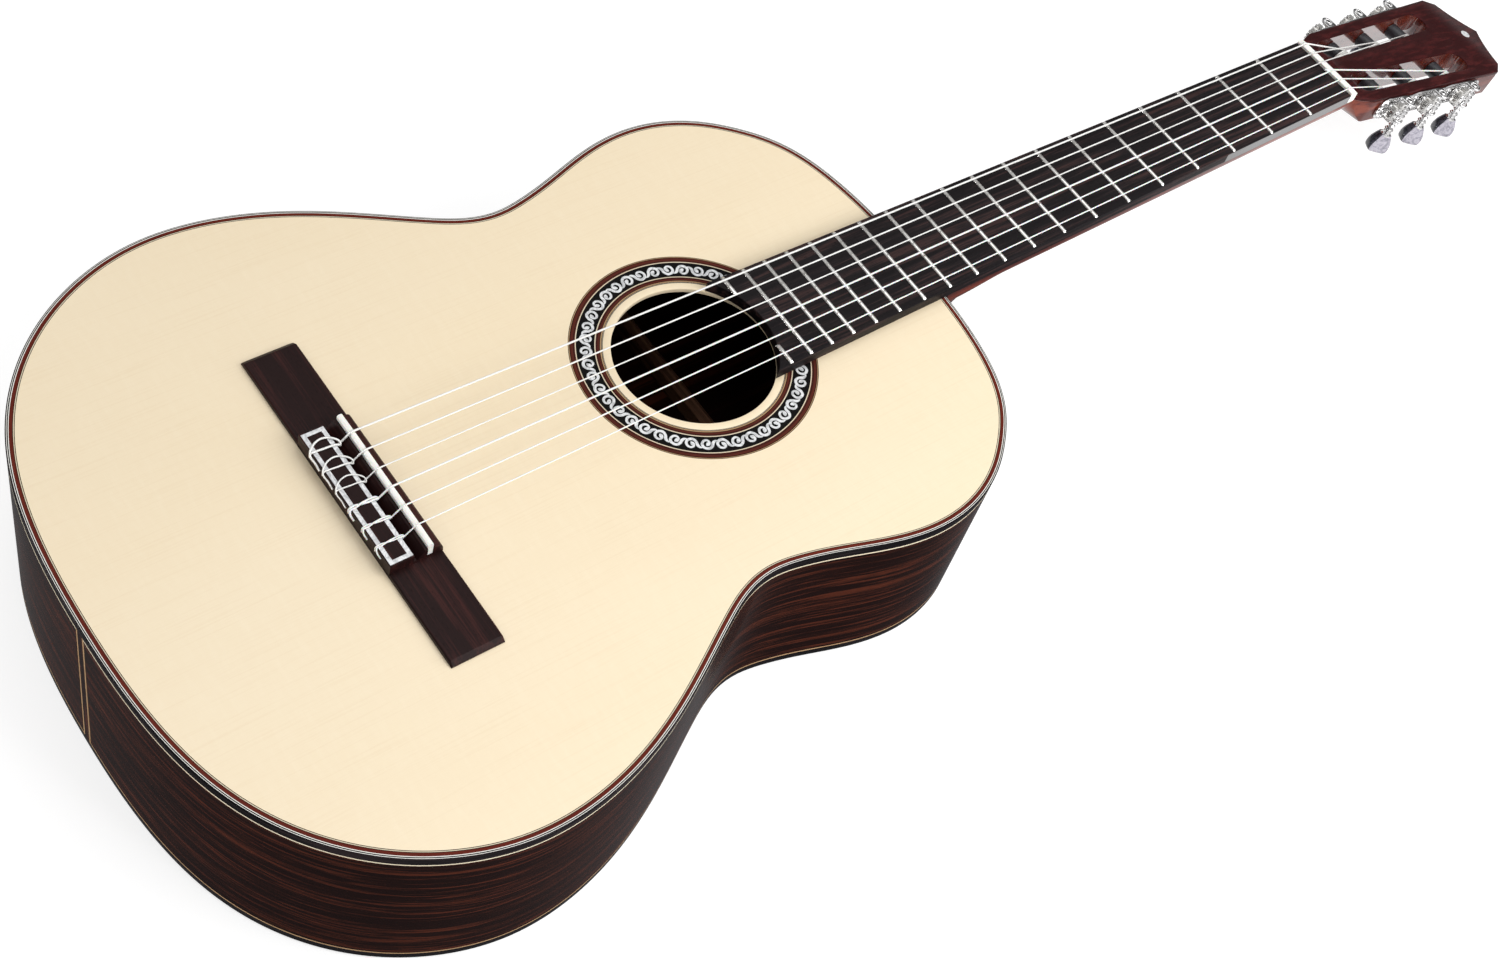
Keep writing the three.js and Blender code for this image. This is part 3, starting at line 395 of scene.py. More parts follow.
ALONG_Y = (1, 0.03, 1)
ALONG_X = (0.03, 1, 1)
ROSEWOOD = ((0.0085, 0.0028, 0.0024), (0.020, 0.0056, 0.0036), (0.062, 0.0150, 0.0076))
BRIDGE_WOOD = ((0.013, 0.0036, 0.0034), (0.024, 0.0064, 0.0058), (0.040, 0.0105, 0.0090))
FACE_WOOD = ((0.030, 0.0048, 0.0052), (0.044, 0.0070, 0.0074), (0.064, 0.0105, 0.0105))
EBONY = ((0.005, 0.004, 0.005), (0.010, 0.008, 0.009), (0.021, 0.015, 0.016))
BOARD_WOOD = ((0.006, 0.004, 0.005), (0.014, 0.009, 0.010), (0.040, 0.020, 0.019))
CEDAR = ((0.080, 0.0105, 0.0055), (0.13, 0.019, 0.0085), (0.19, 0.034, 0.015))
INNER = ((0.085, 0.036, 0.021), (0.13, 0.060, 0.034), (0.18, 0.088, 0.050))

# Each wood: where its grain runs, its colours, how wide its streaks are, and what differs from the usual.
LACQUER = {"gloss": 0.1, "coat": 1.0, "lacquer": 2.3}
WALL_LACQUER = {"gloss": 0.2, "coat": 1.0, "lacquer": 3.2, "pores": 0.0}
WOODS = {
    "side_rosewood": ("along", ALONG_X, ROSEWOOD, 0.45, {"gloss": 0.12, "ior": 1.12}),
    "back_rosewood": ("object", ALONG_Y, ROSEWOOD, 0.07, {}),
    "face_rosewood": ("object", (1, 0.012, 1), FACE_WOOD, 0.3, {"ior": 1.15}),
    "bridge_rosewood": ("object", ALONG_X, BRIDGE_WOOD, 0.2, {"gloss": 0.45}),
    "board_ebony": ("object", ALONG_Y, BOARD_WOOD, 0.3, {"gloss": 0.5}),
    "lacquered_ebony": ("object", ALONG_Y, EBONY, 0.2, LACQUER),
    "binding_ebony": ("along", ALONG_X, EBONY, 0.3, {"gloss": 0.16, "pores": 0.3, "ior": 1.15}),
    "cedar": ("object", ALONG_Y, CEDAR, 0.10, {"pores": 0.3, "coat": 0.45}),
    "lacquered_cedar": ("object", (0.3, 0.05, 0.3), CEDAR, 0.1, WALL_LACQUER),
    "inner_wood": ("object", ALONG_X, INNER, 0.2, {"gloss": 0.6, "pores": 0.25}),
}
VENEERS = {
    "pale_line": ((0.62, 0.52, 0.36), (0.80, 0.72, 0.55)),
    "white_line": ((0.80, 0.78, 0.72), (0.92, 0.91, 0.86)),
    "black_line": ((0.003, 0.003, 0.003), (0.009, 0.008, 0.008)),
    "red_line": ((0.070, 0.011, 0.008), (0.17, 0.029, 0.017)),
    "brown_line": ((0.050, 0.011, 0.008), (0.125, 0.028, 0.018)),
    "tan_line": ((0.30, 0.17, 0.085), (0.50, 0.33, 0.18)),
}
METALS = {
    "nickel": ((0.60, 0.59, 0.59), (0.95, 0.95, 0.95), 0.04, 0.16),
    "gear_steel": ((0.36, 0.35, 0.34), (0.70, 0.69, 0.67), 0.14, 0.34, (1, 0.1, 1), 0.01),
    "fret_steel": ((0.66, 0.64, 0.61), (0.86, 0.85, 0.83), 0.14, 0.34, (0.1, 1, 1)),
}
PEARLS = {
    "pearl": ((0.008, 0.009, 0.014), (0.022, 0.024, 0.034), (0.06, 0.06, 0.08)),
    "grey_pearl": ((0.17, 0.165, 0.20), (0.30, 0.285, 0.34), (0.44, 0.42, 0.48)),
    "white_pearl": ((0.44, 0.45, 0.46), (0.60, 0.61, 0.62), (0.82, 0.83, 0.84)),
}


def all_finishes():
    made = {name: dark_wood(name, *values, **extra) for name, (*values, extra) in WOODS.items()}
    for kind, table in ((veneer, VENEERS), (metal, METALS), (pearl, PEARLS)):
        made |= {name: kind(name, *values) for name, values in table.items()}
    for kind in (spruce, bone, wound_string, nylon_string, roller_plastic):
        made[kind.__name__] = kind()
    return made


FINISHES = all_finishes()

# ---------------------------------------------------------------- pieces


def linked(name, data):
    """A new object in the scene."""
    obj = bpy.data.objects.new(name, data)
    bpy.context.scene.collection.objects.link(obj)
    return obj


def placed(name, mesh, place):
    """An object from a mesh in a frame's millimetres, its points joined and its faces turned outwards."""
    mesh.transform(place)
    work = bmesh.new()
    work.from_mesh(mesh)
    bmesh.ops.remove_doubles(work, verts=work.verts, dist=0.002 * MM)
    bmesh.ops.dissolve_degenerate(work, edges=work.edges, dist=0.001 * MM)
    bmesh.ops.recalc_face_normals(work, faces=work.faces)
    work.to_mesh(mesh)
    work.free()
    mesh.name = name
    return linked(name, mesh)


def smoothed(mesh, below):
    """Faces that meet at less than this many degrees look like one."""
    mesh.polygons.foreach_set("use_smooth", [True] * len(mesh.polygons))
    mesh.set_sharp_from_angle(angle=math.radians(below))


def dress(obj, material, body):
    """Gives a piece its finish, and the body it moves with."""
    obj.data.materials.clear()
    obj.data.materials.append(FINISHES[material])
    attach(obj, body)
    return obj


def piece(name, mesh, material, body="root", place=BOARD, smooth_below=40):
    """One piece from a mesh in millimetres. Faces that meet at less than smooth_below look like one."""
    obj = placed(name, mesh, place)
    smoothed(mesh, smooth_below)
    return dress(obj, material, body)


def rounded(obj, width):
    """Rounds a piece's sharp edges, and keeps its flat faces looking flat."""
    made = obj.modifiers.new("rounded", "BEVEL")
    made.width = width * MM
    made.segments = 2
    made.limit_method = "ANGLE"
    made.angle_limit = math.radians(30)
    made.use_clamp_overlap = True
    made.harden_normals = True
    return obj


def mesh_of(vertices, faces, along=None):
    """A mesh from points and faces; along holds each point's way along, round and into the piece."""
    mesh = bpy.data.meshes.new("mesh")
    mesh.from_pydata([tuple(v) for v in vertices], [], faces)
    return mesh if along is None else with_grain(mesh, along)


def with_grain(mesh, along):
    attribute = mesh.attributes.new("along", "FLOAT_VECTOR", "POINT")
    attribute.data.foreach_set("vector", np.asarray(along, float).ravel())
    return mesh


def loft_mesh(loops, ring=False, along=None):
    """A skin over loops with the same number of points. A ring's last loop meets its first."""
    count, total = len(loops[0]), len(loops)
    faces = []
    for i in range(total if ring else total - 1):
        near, far = i * count, (i + 1) % total * count
        for j in range(count):
            k = (j + 1) % count
            faces.append((near + j, near + k, far + k, far + j))
    if not ring:
        faces.append(tuple(range(count)))
        faces.append(tuple(range((total - 1) * count, total * count)))
    return mesh_of([p for loop in loops for p in loop], faces, along)


def plate_mesh(loops, low, high, rounding=0.0, steps=2):
    """A flat plate in x and y between closed loops, holes among them, with rounded edges."""
    curve = bpy.data.curves.new("plate", "CURVE")
    curve.dimensions = "2D"
    curve.fill_mode = "BOTH"
    curve.extrude = (high - low) / 2 - rounding
    curve.bevel_depth = rounding
    curve.bevel_resolution = steps
    curve.offset = -rounding
    for loop in loops:
        spline = curve.splines.new("POLY")
        spline.points.add(len(loop) - 1)
        for point, (x, y) in zip(spline.points, loop):
            point.co = (x, y, 0, 1)
        spline.use_cyclic_u = True
    holder = bpy.data.objects.new("plate", curve)
    mesh = bpy.data.meshes.new_from_object(holder)
    bpy.data.objects.remove(holder)
    mesh.transform(Matrix.Translation((0, 0, (low + high) / 2)))
    return mesh


def turned_mesh(profile, axis, centre=(0, 0, 0), segments=32, ring=False):
    """A turned piece: (radius, place along the axis) points about x, y or z. A ring's profile is closed."""
    order = {"x": (2, 0, 1), "y": (1, 2, 0), "z": (0, 1, 2)}[axis]
    loops = []
    for radius, along in profile:
        around = [(x, y, along) for x, y in circle(0, 0, radius, segments)]
        loops.append([[middle + point[part] for middle, part in zip(centre, order)] for point in around])
    return loft_mesh(loops, ring)


def joined_mesh(*meshes):
    """Several meshes as one."""
    work = bmesh.new()
    for mesh in meshes:
        work.from_mesh(mesh)
    whole = bpy.data.meshes.new("joined")
    work.to_mesh(whole)
    work.free()
    return whole


def circle(x, y, radius, count=48, start=0.0, sweep=2 * math.pi):
    """Points round an arc; a whole circle leaves out its last point."""
    last = count if sweep >= 2 * math.pi else count - 1
    angles = [start + sweep * i / last for i in range(count)]
    return [(x + radius * math.cos(a), y + radius * math.sin(a)) for a in angles]


def smooth_path(points, per_stretch=6):
    """Catmull-Rom points through a row of points."""
    padded = [points[0] * 2 - points[1], *points, points[-1] * 2 - points[-2]]
    path = []
    for a, b, c, d in zip(padded, padded[1:], padded[2:], padded[3:]):
        for step in range(per_stretch):
            t = step / per_stretch
            middle = (c - a) * t + (a * 2 - b * 5 + c * 4 - d) * t**2 + (b * 3 - a - c * 3 + d) * t**3
            path.append(b + middle / 2)
    return [*path, points[-1]]


def tube_mesh(path, radius, sides=10):
    """A round tube along a path, with domed ends; radius is a number, or a function of the length."""
    radius_at = radius if callable(radius) else lambda _: radius
    tangents = []
    for i in range(len(path)):
        before, after = path[max(i - 1, 0)], path[min(i + 1, len(path) - 1)]
        tangents.append((after - before).normalized())
    side = tangents[0].orthogonal().normalized()
    loops, along, length = [], [], 0
    for i, (point, tangent) in enumerate(zip(path, tangents)):
        side = (side - tangent * side.dot(tangent)).normalized()
        other = tangent.cross(side)
        length += (point - path[i - 1]).length if i else 0
        size = radius_at(length)
        loop = []
        for j in range(sides):
            angle = 2 * math.pi * j / sides
            loop.append(point + (side * math.cos(angle) + other * math.sin(angle)) * size)
            along.append((length, size * math.cos(angle), size * math.sin(angle)))
        loops.append(loop)
    return loft_mesh(loops, along=along)


# ---------------------------------------------------------------- the body's outline


def periodic_spline(points, density=24):
    """A smooth closed curve through points, as a dense row of places on it."""
    ahead = np.roll(points, -1, 0)
    step = np.linalg.norm(ahead - points, axis=1)
    slope = (ahead - points) / step[:, None]
    count = len(points)
    system = np.zeros((count, count))
    for i in range(count):
        system[i, i - 1] += step[i - 1]
        system[i, i] += 2 * (step[i - 1] + step[i])
        system[i, (i + 1) % count] += step[i]
    bend = np.linalg.solve(system, 6 * (slope - np.roll(slope, 1, 0)))
    ahead_bend = np.roll(bend, -1, 0)
    dense = []
    for t in np.arange(density) / density:
        u = 1 - t
        curved = (u**3 - u) * bend + (t**3 - t) * ahead_bend
        dense.append(u * points + t * ahead + step[:, None] ** 2 * curved / 6)
    return np.stack(dense, 1).reshape(-1, 2)


def body_outline(count=384):
    """Even places round the body and the directions into it, from the CAD binding's outer edge."""
    inverse = BOARD.inverted()
    corners = np.array([inverse @ p for p in corners_of("top_binding")])
    flat = np.unique(np.round(corners[abs(corners[:, 2]) < 0.05][:, :2], 3), axis=0)
    away = np.linalg.norm(flat - (0, HOLE_Y), axis=1)
    gaps = np.linalg.norm(flat[:, None] - flat[None], axis=2)
    inner = ((gaps < BINDING_WIDE + 0.1) & (away[None] > away[:, None] + 0.01)).any(1)
    outer = flat[~inner]
    angles = np.arctan2(outer[:, 0], HOLE_Y - outer[:, 1])
    dense = periodic_spline(outer[np.argsort(angles)])
    dense = np.roll(dense, -int(np.argmin(abs(dense[:, 0]) + (dense[:, 1] > 0) * 1e3)), 0)
    length = np.r_[0, np.cumsum(np.linalg.norm(np.roll(dense, -1, 0) - dense, axis=1))]
    wanted = np.arange(count) / count * length[-1]
    closed = np.vstack([dense, dense[:1]])
    places = np.stack([np.interp(wanted, length, closed[:, axis]) for axis in (0, 1)], 1)
    tangents = np.roll(places, -1, 0) - np.roll(places, 1, 0)
    tangents /= np.linalg.norm(tangents, axis=1)[:, None]
    return places, np.stack([-tangents[:, 1], tangents[:, 0]], 1), wanted


EDGE, INWARD, WAY_ROUND = body_outline()


def inset_loop(inset):
    return EDGE + INWARD * inset


def body_band(name, section, material, first=0, last=None):
    """A band round the body. section(y) gives its (inset, height) corners; first and last stop it short."""
    whole = last is None
    stations = range(len(EDGE)) if whole else range(first, last + 1)
    loops, along = [], []
    for i in stations:
        i %= len(EDGE)
        loop = []
        for inset, height in section(EDGE[i][1]):
            x, y = EDGE[i] + INWARD[i] * inset
            loop.append((x, y, height))
            along.append((WAY_ROUND[i], height, inset))
        loops.append(loop)
    return piece(name, loft_mesh(loops, whole, along), material)


def corner_arc(inset, height, radius, quarter, steps=4):
    """Points round a quarter circle, in (inset, height)."""
    angles = [math.radians(90 * (quarter + i / steps)) for i in range(steps + 1)]
    return [(inset + radius * math.cos(a), height + radius * math.sin(a)) for a in angles]


# ---------------------------------------------------------------- the body

ROUND_EDGE = 0.55  # the binding's rounded corner
BINDING_TOP = 0.6  # how much of the binding shows on the soundboard's side
# Lines inside the top binding, from the outside in: how wide each is, and its finish. The first white line
# is a painted highlight of the binding's rounded corner; the rest are veneer.
TOP_LINES = [
    # Painted highlight: the shine on the binding's rounded corner, as a thin white line.
    (0.26, "white_line"),
    (0.52, "black_line"),
    (0.36, "white_line"),
    (1.60, "red_line"),
    (0.28, "black_line"),
    (0.40, "pale_line"),
    (0.33, "black_line"),
]
ROSETTE_DEEP = 1.2
# From the outside in: each ring's inner radius, and its finish.
ROSETTE_LINES = [
    (63.6, "black_line"),
    (63.2, "tan_line"),
    (62.8, "black_line"),
    (61.3, "brown_line"),
    (61.0, "black_line"),
    (60.4, "brown_line"),
    (59.9, "pale_line"),
    (50.6, "black_line"),
    (50.1, "pale_line"),
    (49.6, "brown_line"),
    (49.3, "black_line"),
    (48.1, "brown_line"),
    (47.8, "black_line"),
    (47.2, "tan_line"),
    (46.9, "black_line"),
    (46.75, "pale_line"),
    (46.5, "black_line"),
]
SIDE_LINE = 0.9  # the pale line under the top binding
BACK_LINES = [(0.35, "white_line"), (0.8, "black_line")]
LINE_DEEP = 1.6


def make_top_edge():
    def binding(_):
        return [
            (BINDING_TOP, 0),
            (BINDING_TOP, -BINDING_DEEP),
            (0, -BINDING_DEEP),
            *corner_arc(ROUND_EDGE, -ROUND_EDGE, ROUND_EDGE, 1)[::-1],
        ]

    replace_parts(body_band("top_binding_round", binding, "binding_ebony"), "top_binding")
    inset = BINDING_TOP
    for number, (wide, material) in enumerate(TOP_LINES):
        inner = inset + wide
        section = [(inset, 0), (inner, 0), (inner, -LINE_DEEP), (inset, -LINE_DEEP)]
        # The first of these lines is a painted highlight of the binding's corner, not veneer.
        body_band(f"top_purfling_and_painted_highlight_{number + 1}", lambda _, s=section: s, material)
        inset = inner
    return inset


def make_soundboard(inset):
    """Two pieces with the rosette between them: the plate, and the ring round the sound hole."""
    low = -SOUNDBOARD_THICK
    rosette = circle(0, HOLE_Y, ROSETTE_RADIUS, 160)
    plate = piece("soundboard_plate", plate_mesh([inset_loop(inset), rosette], low, 0), "spruce")
    inner = ROSETTE_LINES[-1][0]
    ring = [circle(0, HOLE_Y, radius, 160) for radius in (inner, HOLE_RADIUS)]
    piece("soundhole_ring", plate_mesh(ring, low, 0, 0.25), "spruce")
    bed = [circle(0, HOLE_Y, radius, 160) for radius in (ROSETTE_RADIUS, inner)]
    piece("rosette_bed", plate_mesh(bed, low, -ROSETTE_DEEP), "spruce")
    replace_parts(plate, "soundboard")


SCROLL_RADIUS = 55.05
SCROLL_TURNS = 44


def rosette_ring(outer, inner, count=192):
    """A flat ring whose grain runs round it."""
    loops, along = [], []
    for i in range(count):
        angle = 2 * math.pi * i / count
        loop = []
        for radius, z in ((outer, 0), (inner, 0), (inner, -ROSETTE_DEEP), (outer, -ROSETTE_DEEP)):
            loop.append((radius * math.sin(angle), HOLE_Y + radius * math.cos(angle), z))
            along.append((angle * radius, radius, z))
        loops.append(loop)
    return loft_mesh(loops, ring=True, along=along)


def scroll_point(way, out):
    """A place on the rosette: the way round it and the distance out from the scroll's middle line."""
    angle = way / SCROLL_RADIUS
    radius = SCROLL_RADIUS + out
    return Vector((radius * math.sin(angle), HOLE_Y + radius * math.cos(angle), 0))


# One hook of the scroll: its tail, round its ring, and in to its bud. (along, out, half its width)
HOOK = [
    (-5.3, -2.2, 0.2),
    (-4.1, -1.9, 0.6),
    (-3.0, -0.8, 0.8),
    (-2.3, 1.2, 0.72),
    (-0.5, 2.55, 0.75),
    (1.8, 1.9, 0.75),
    (2.65, 0.0, 0.7),
    (1.8, -1.9, 0.65),
    (0.1, -2.45, 0.6),
    (-1.1, -1.5, 0.6),
    (-0.6, -0.3, 1.05),
    (0.1, 0.45, 0.7),
    (0.5, 0.9, 0.1),
]


def scroll_mesh():
    """A running scroll: hooks turned alternately out and in, each ending in a bud."""
    pitch = 2 * math.pi * SCROLL_RADIUS / SCROLL_TURNS
    low, high = -0.3, 0.03
    strokes = smooth_path([Vector(point) for point in HOOK], 4)
    meshes = []
    for turn in range(SCROLL_TURNS):
        side = 1 if turn % 2 == 0 else -1
        loops = []
        for i, stroke in enumerate(strokes):
            before, after = strokes[max(i - 1, 0)], strokes[min(i + 1, len(strokes) - 1)]
            across = Vector((before.y - after.y, after.x - before.x)).normalized() * stroke.z
            corners = []
            for edge in (1, -1):
                way = pitch * (turn + 0.5) + stroke.x + across.x * edge
                corners.append(scroll_point(way, side * (stroke.y + across.y * edge)))
            top, foot = Vector((0, 0, high)), Vector((0, 0, low))
            loops.append([corners[0] + top, corners[1] + top, corners[1] + foot, corners[0] + foot])
        meshes.append(loft_mesh(loops))
    return joined_mesh(*meshes)


def make_rosette():
    outer = ROSETTE_RADIUS
    rings = []
    for number, (inner, material) in enumerate(ROSETTE_LINES):
        rings.append(piece(f"rosette_ring_{number + 1}", rosette_ring(outer, inner), material))
        outer = inner
    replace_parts(rings[0], "rosette")
    piece("rosette_scroll", scroll_mesh(), "white_pearl")


def make_sides():
    """The bent sides, the pale line under the binding, and the graft over the joint at the tail."""
    top = -BINDING_DEEP - SIDE_LINE
    count = len(EDGE)
    graft, line = 2.3, 1.0  # half the graft's rosewood, and the pale line beside it
    deep = 1.2
    start = next(i for i in range(count) if EDGE[i][0] > graft + line)
    neck = next(i for i in range(count // 4, count) if EDGE[i][0] < 0)

    def bottom(y):
        return back_height(y) + BINDING_DEEP + SIDE_LINE

    def side(y):
        return [(0, top), (SIDE_THICK, top), (SIDE_THICK, bottom(y)), (0, bottom(y))]

    treble = body_band("treble_side_bent", side, "side_rosewood", start, neck)
    bass = body_band("bass_side_bent", side, "side_rosewood", neck, count - start)
    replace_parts(treble, "treble_side")
    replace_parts(bass, "bass_side")

    def upper_line(_):
        return [(0, -BINDING_DEEP), (deep, -BINDING_DEEP), (deep, top), (0, top)]

    def lower_line(y):
        low = back_height(y) + BINDING_DEEP
        return [(0, low), (deep, low), (deep, low + SIDE_LINE), (0, low + SIDE_LINE)]

    first, last = start - 1, count - start + 1
    body_band("side_purfling_top", upper_line, "pale_line", first, last)
    body_band("side_purfling_back", lower_line, "tan_line", first, last)
    make_graft(graft, line)


def graft_strip(x0, x1, low, high):
    """An upright strip at the tail that follows the outline between two places across."""
    proud = 0.02
    near = np.argsort(EDGE[:, 1])[:9]
    near = near[np.argsort(EDGE[near, 0])]
    loops, along = [], []
    for x in np.linspace(x0, x1, 5):
        y = np.interp(x, EDGE[near, 0], EDGE[near, 1]) - proud
        inner = y + SIDE_THICK
        loop = [(x, y, high), (x, inner, high), (x, inner, low), (x, y, low)]
        loops.append(loop)
        along += [(z, x, depth - y) for _, depth, z in loop]
    return loft_mesh(loops, along=along)


def make_graft(half, line):
    low, high = back_height(TAIL) + BINDING_DEEP, -BINDING_DEEP
    middle = piece("end_graft_wood", graft_strip(-half, half, low, high), "side_rosewood")
    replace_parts(middle, "end_graft")
    for name, side in SIDES.items():
        strip = graft_strip(side * half, side * (half + line), low, high)
        piece(f"end_graft_line_{name}", strip, "tan_line")


def sloped(mesh):
    """Moves a plate made at the tail's height down or up to follow the back's slope."""
    for vertex in mesh.vertices:
        vertex.co.z += (vertex.co.y - TAIL) * BACK_SLOPE
    return mesh


def make_back():
    def binding(y):
        low = back_height(y)
        arc = corner_arc(ROUND_EDGE, low + ROUND_EDGE, ROUND_EDGE, 2)
        return [(BINDING_WIDE, low), (BINDING_WIDE, low + BINDING_DEEP), (0, low + BINDING_DEEP), *arc]

    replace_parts(body_band("back_binding_round", binding, "binding_ebony"), "back_binding")
    inset = BINDING_WIDE
    for number, (wide, material) in enumerate(BACK_LINES):
        inner = inset + wide

        def section(y, outer=inset, inner=inner):
            low = back_height(y)
            return [(outer, low), (outer, low + LINE_DEEP), (inner, low + LINE_DEEP), (inner, low)]

        body_band(f"back_purfling_{number + 1}", section, material)
        inset = inner
    make_back_plate(inset_loop(inset))


def make_back_plate(loop):
    """Two halves of one board, with a line of veneer between them."""
    strip = 1.6  # half the line
    low, high = BACK_AT_TAIL, BACK_AT_TAIL + BACK_THICK
    near, far = loop[:, 1].min(), loop[:, 1].max()
    for name, side in SIDES.items():
        half = loop[loop[:, 0] * side > strip]
        corners = [(side * strip, far), (side * strip, near)][::side]
        plate = plate_mesh([[*map(tuple, half), *corners]], low, high)
        obj = piece(f"back_half_{name}", sloped(plate), "back_rosewood")
        if name == "treble":
            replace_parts(obj, "back_plate")
    corners = [(-strip, near), (strip, near), (strip, far), (-strip, far)]
    line = plate_mesh([corners], low, high)
    with_grain(line, [(v.co.y, v.co.x, v.co.z) for v in line.vertices])
    piece("back_centre_line", sloped(line), "tan_line")


def dress_inside():
    """The CAD pieces inside the body keep their shapes."""
    parts = {part: "inner_wood" for part in ("lining", "end_block", "bar", "back_brace")}
    parts["fan_brace"] = "spruce"
    for name, obj in frame["nodes"].items():
        for part, material in parts.items():
            if part in name:
                obj.data.materials.clear()
                obj.data.materials.append(FINISHES[material])


# ---------------------------------------------------------------- the neck and head

HEEL_LONG = 20
HEEL_SWEEP = 52
HEEL_HALF = 11
HEEL_CAP = 2.2
DEEP_AT_HEEL = 17.5
DEEP_AT_NUT = 15.5
WIDE_AT_JOINT = 58.5
NUT_WIDE = NUT_HI.x - NUT_LO.x
NECK_FOOT = BODY_JOINT + 0.3
HEEL_LOW = back_height(NECK_FOOT) + 0.5
OUT_OF_SIGHT = 200.0  # further out than any section of the neck


def board_half(y):
    """Half the fingerboard's width."""
    slope = (NUT_WIDE - WIDE_AT_JOINT) / (SCALE_LENGTH - BODY_JOINT)
    return (WIDE_AT_JOINT + slope * (min(y, SCALE_LENGTH) - BODY_JOINT)) / 2


def eased(t):
    t = min(max(t, 0.0), 1.0)
    return t * t * (3 - 2 * t)


def neck_depth(y):
    t = (y - BODY_JOINT) / (SCALE_LENGTH - BODY_JOINT)
    return DEEP_AT_HEEL + (DEEP_AT_NUT - DEEP_AT_HEEL) * t


def shaft_half(y, z):
    """Half the shaft's width at a height below its top; negative below it."""
    inside = 1 - abs(z / neck_depth(y)) ** 2.3
    return board_half(y) * inside**0.46 if inside > 0 else z + neck_depth(y)


def heel_half(y, z):
    """The same for the heel, which narrows downwards and sweeps back up into the shaft."""
    if z < HEEL_LOW + HEEL_CAP:
        return -OUT_OF_SIGHT
    t = z / HEEL_LOW
    half = board_half(NECK_FOOT) + (HEEL_HALF - board_half(NECK_FOOT)) * t**0.8
    long = HEEL_LONG + HEEL_SWEEP * (1 - t) ** 2.4
    inside = 1 - ((y - NECK_FOOT) / long) ** 2
    return half * math.sqrt(inside) if inside > 0 else 0.5 * (long + NECK_FOOT - y)


def neck_half(y, z):
    """The shaft and the heel, with a soft corner where they meet."""
    blend = 8
    first, second = shaft_half(y, z), heel_half(y, z)
    share = max(blend - abs(first - second), 0) / blend
    return min(max(first, second) + share * share * blend / 4, board_half(y))


def neck_section(y, steps=64):
    """The neck cut across: how far it reaches in each direction from the middle of its top."""
    points = []
    for i in range(steps + 1):
        turn = 2 * i / steps - 1
        angle = math.pi / 2 * (1 + math.copysign(abs(turn) ** 1.5, turn))
        dx, dz = math.cos(angle), -math.sin(angle)
        low, high = 0.0, OUT_OF_SIGHT
        for _ in range(26):
            middle = (low + high) / 2
            inside = middle * abs(dx) <= neck_half(y, middle * dz)
            low, high = (middle, high) if inside else (low, middle)
        points.append(Vector((low * dx, y, low * dz)))
    return points


def head_side(s):
    """Half the head's width, at a place along it."""
    slot_middle, slot_s, side, splay = 17, 70, 15.4, math.radians(2.1)
    return slot_middle + side + (s - slot_s) * math.tan(splay)


def quadratic(a, b, c, steps=10):
    a, b, c = Vector(a), Vector(b), Vector(c)
    ts = [i / steps for i in range(steps)]
    return [tuple(a * (1 - t) ** 2 + b * 2 * t * (1 - t) + c * t * t) for t in ts]


def head_outline():
    """From the nut round the crown: shoulders, straight sides, and a crown with a peak between two dips."""
    shoulder, corner, crown, crown_half = 16, 150, 158, 29.5
    dip_half, dip = 13, 162
    half = quadratic((NUT_WIDE / 2, 0), (head_side(shoulder) - 3.5, 4), (head_side(shoulder), shoulder))
    half += [(head_side(shoulder), shoulder), (head_side(corner), corner)]
    half += quadratic((crown_half, crown), (dip_half, dip), (0, HEAD_LENGTH))
    return [*half, (0, HEAD_LENGTH), *[(-x, s) for x, s in reversed(half)]]


SLOT_HALF = 7.7
SLOT_REACH = 59
MIDDLE_ROLLER = 3  # along the bank, from the slot's middle


def slot_outline(side, grow=0.0):
    """A slot with round ends, in the head frame."""
    place = HEAD.inverted() @ TUNERS[5 if side > 0 else 2]
    end = SLOT_REACH - SLOT_HALF
    radius = SLOT_HALF + grow
    points = circle(0, end, radius, 17, 0, math.pi) + circle(0, -end, radius, 17, math.pi, math.pi)
    return [(place @ Vector((x, y - MIDDLE_ROLLER, 0))).to_2d() for x, y in points]


def solid_difference(obj, cutters, operation="DIFFERENCE"):
    """Applies boolean cutters to a piece, and removes them."""
    for tool in cutters:
        made = obj.modifiers.new("cut", "BOOLEAN")
        made.operation = operation
        made.solver = "EXACT"
        made.object = tool
    graph = bpy.context.evaluated_depsgraph_get()
    mesh = bpy.data.meshes.new_from_object(obj.evaluated_get(graph))
    obj.modifiers.clear()
    obj.data = mesh
    for tool in cutters:
        bpy.data.objects.remove(tool)
    smoothed(mesh, 34)
    return obj


def cutter(mesh, place=BOARD):
    """A solid used only to cut another."""
    return placed("cutter", mesh, place)


def head_envelope():
    """Everything above the head's carved back, which runs from the neck's round into the flat."""
    steps, sides = 18, 40
    start, long, carved = -6, 200, 40
    loops = []
    for step in range(steps + 1):
        s = start + long * (step / steps) ** 2.2
        t = eased((s + 2) / carved)
        half, deep = NUT_WIDE / 2 + 0.2 + 70 * t, DEEP_AT_NUT + 1 + 12 * t
        loop = [Vector((half, s, 10)), Vector((half, s, 0))]
        for i in range(1, sides):
            angle = math.pi * i / sides
            across = math.copysign(abs(math.cos(angle)) ** 0.8, math.cos(angle))
            loop.append(Vector((half * across, s, -deep * math.sin(angle) ** 0.85)))
        loop += [Vector((-half, s, 0)), Vector((-half, s, 10))]
        loops.append(loop)
    return loft_mesh(loops)


def roller_holes(numbers):
    """Cutters for the rollers' ends: the pins run inwards, and the wider shafts run out to the gears."""
    clear = 0.5
    holes = []
    for number in numbers:
        for radius, start, end in ((PIN_RADIUS + clear, -13, 0), (SHAFT_RADIUS + clear, 0, 20)):
            holes.append(cutter(turned_mesh([(radius, start), (radius, end)], "x"), TUNERS[number]))
    return holes


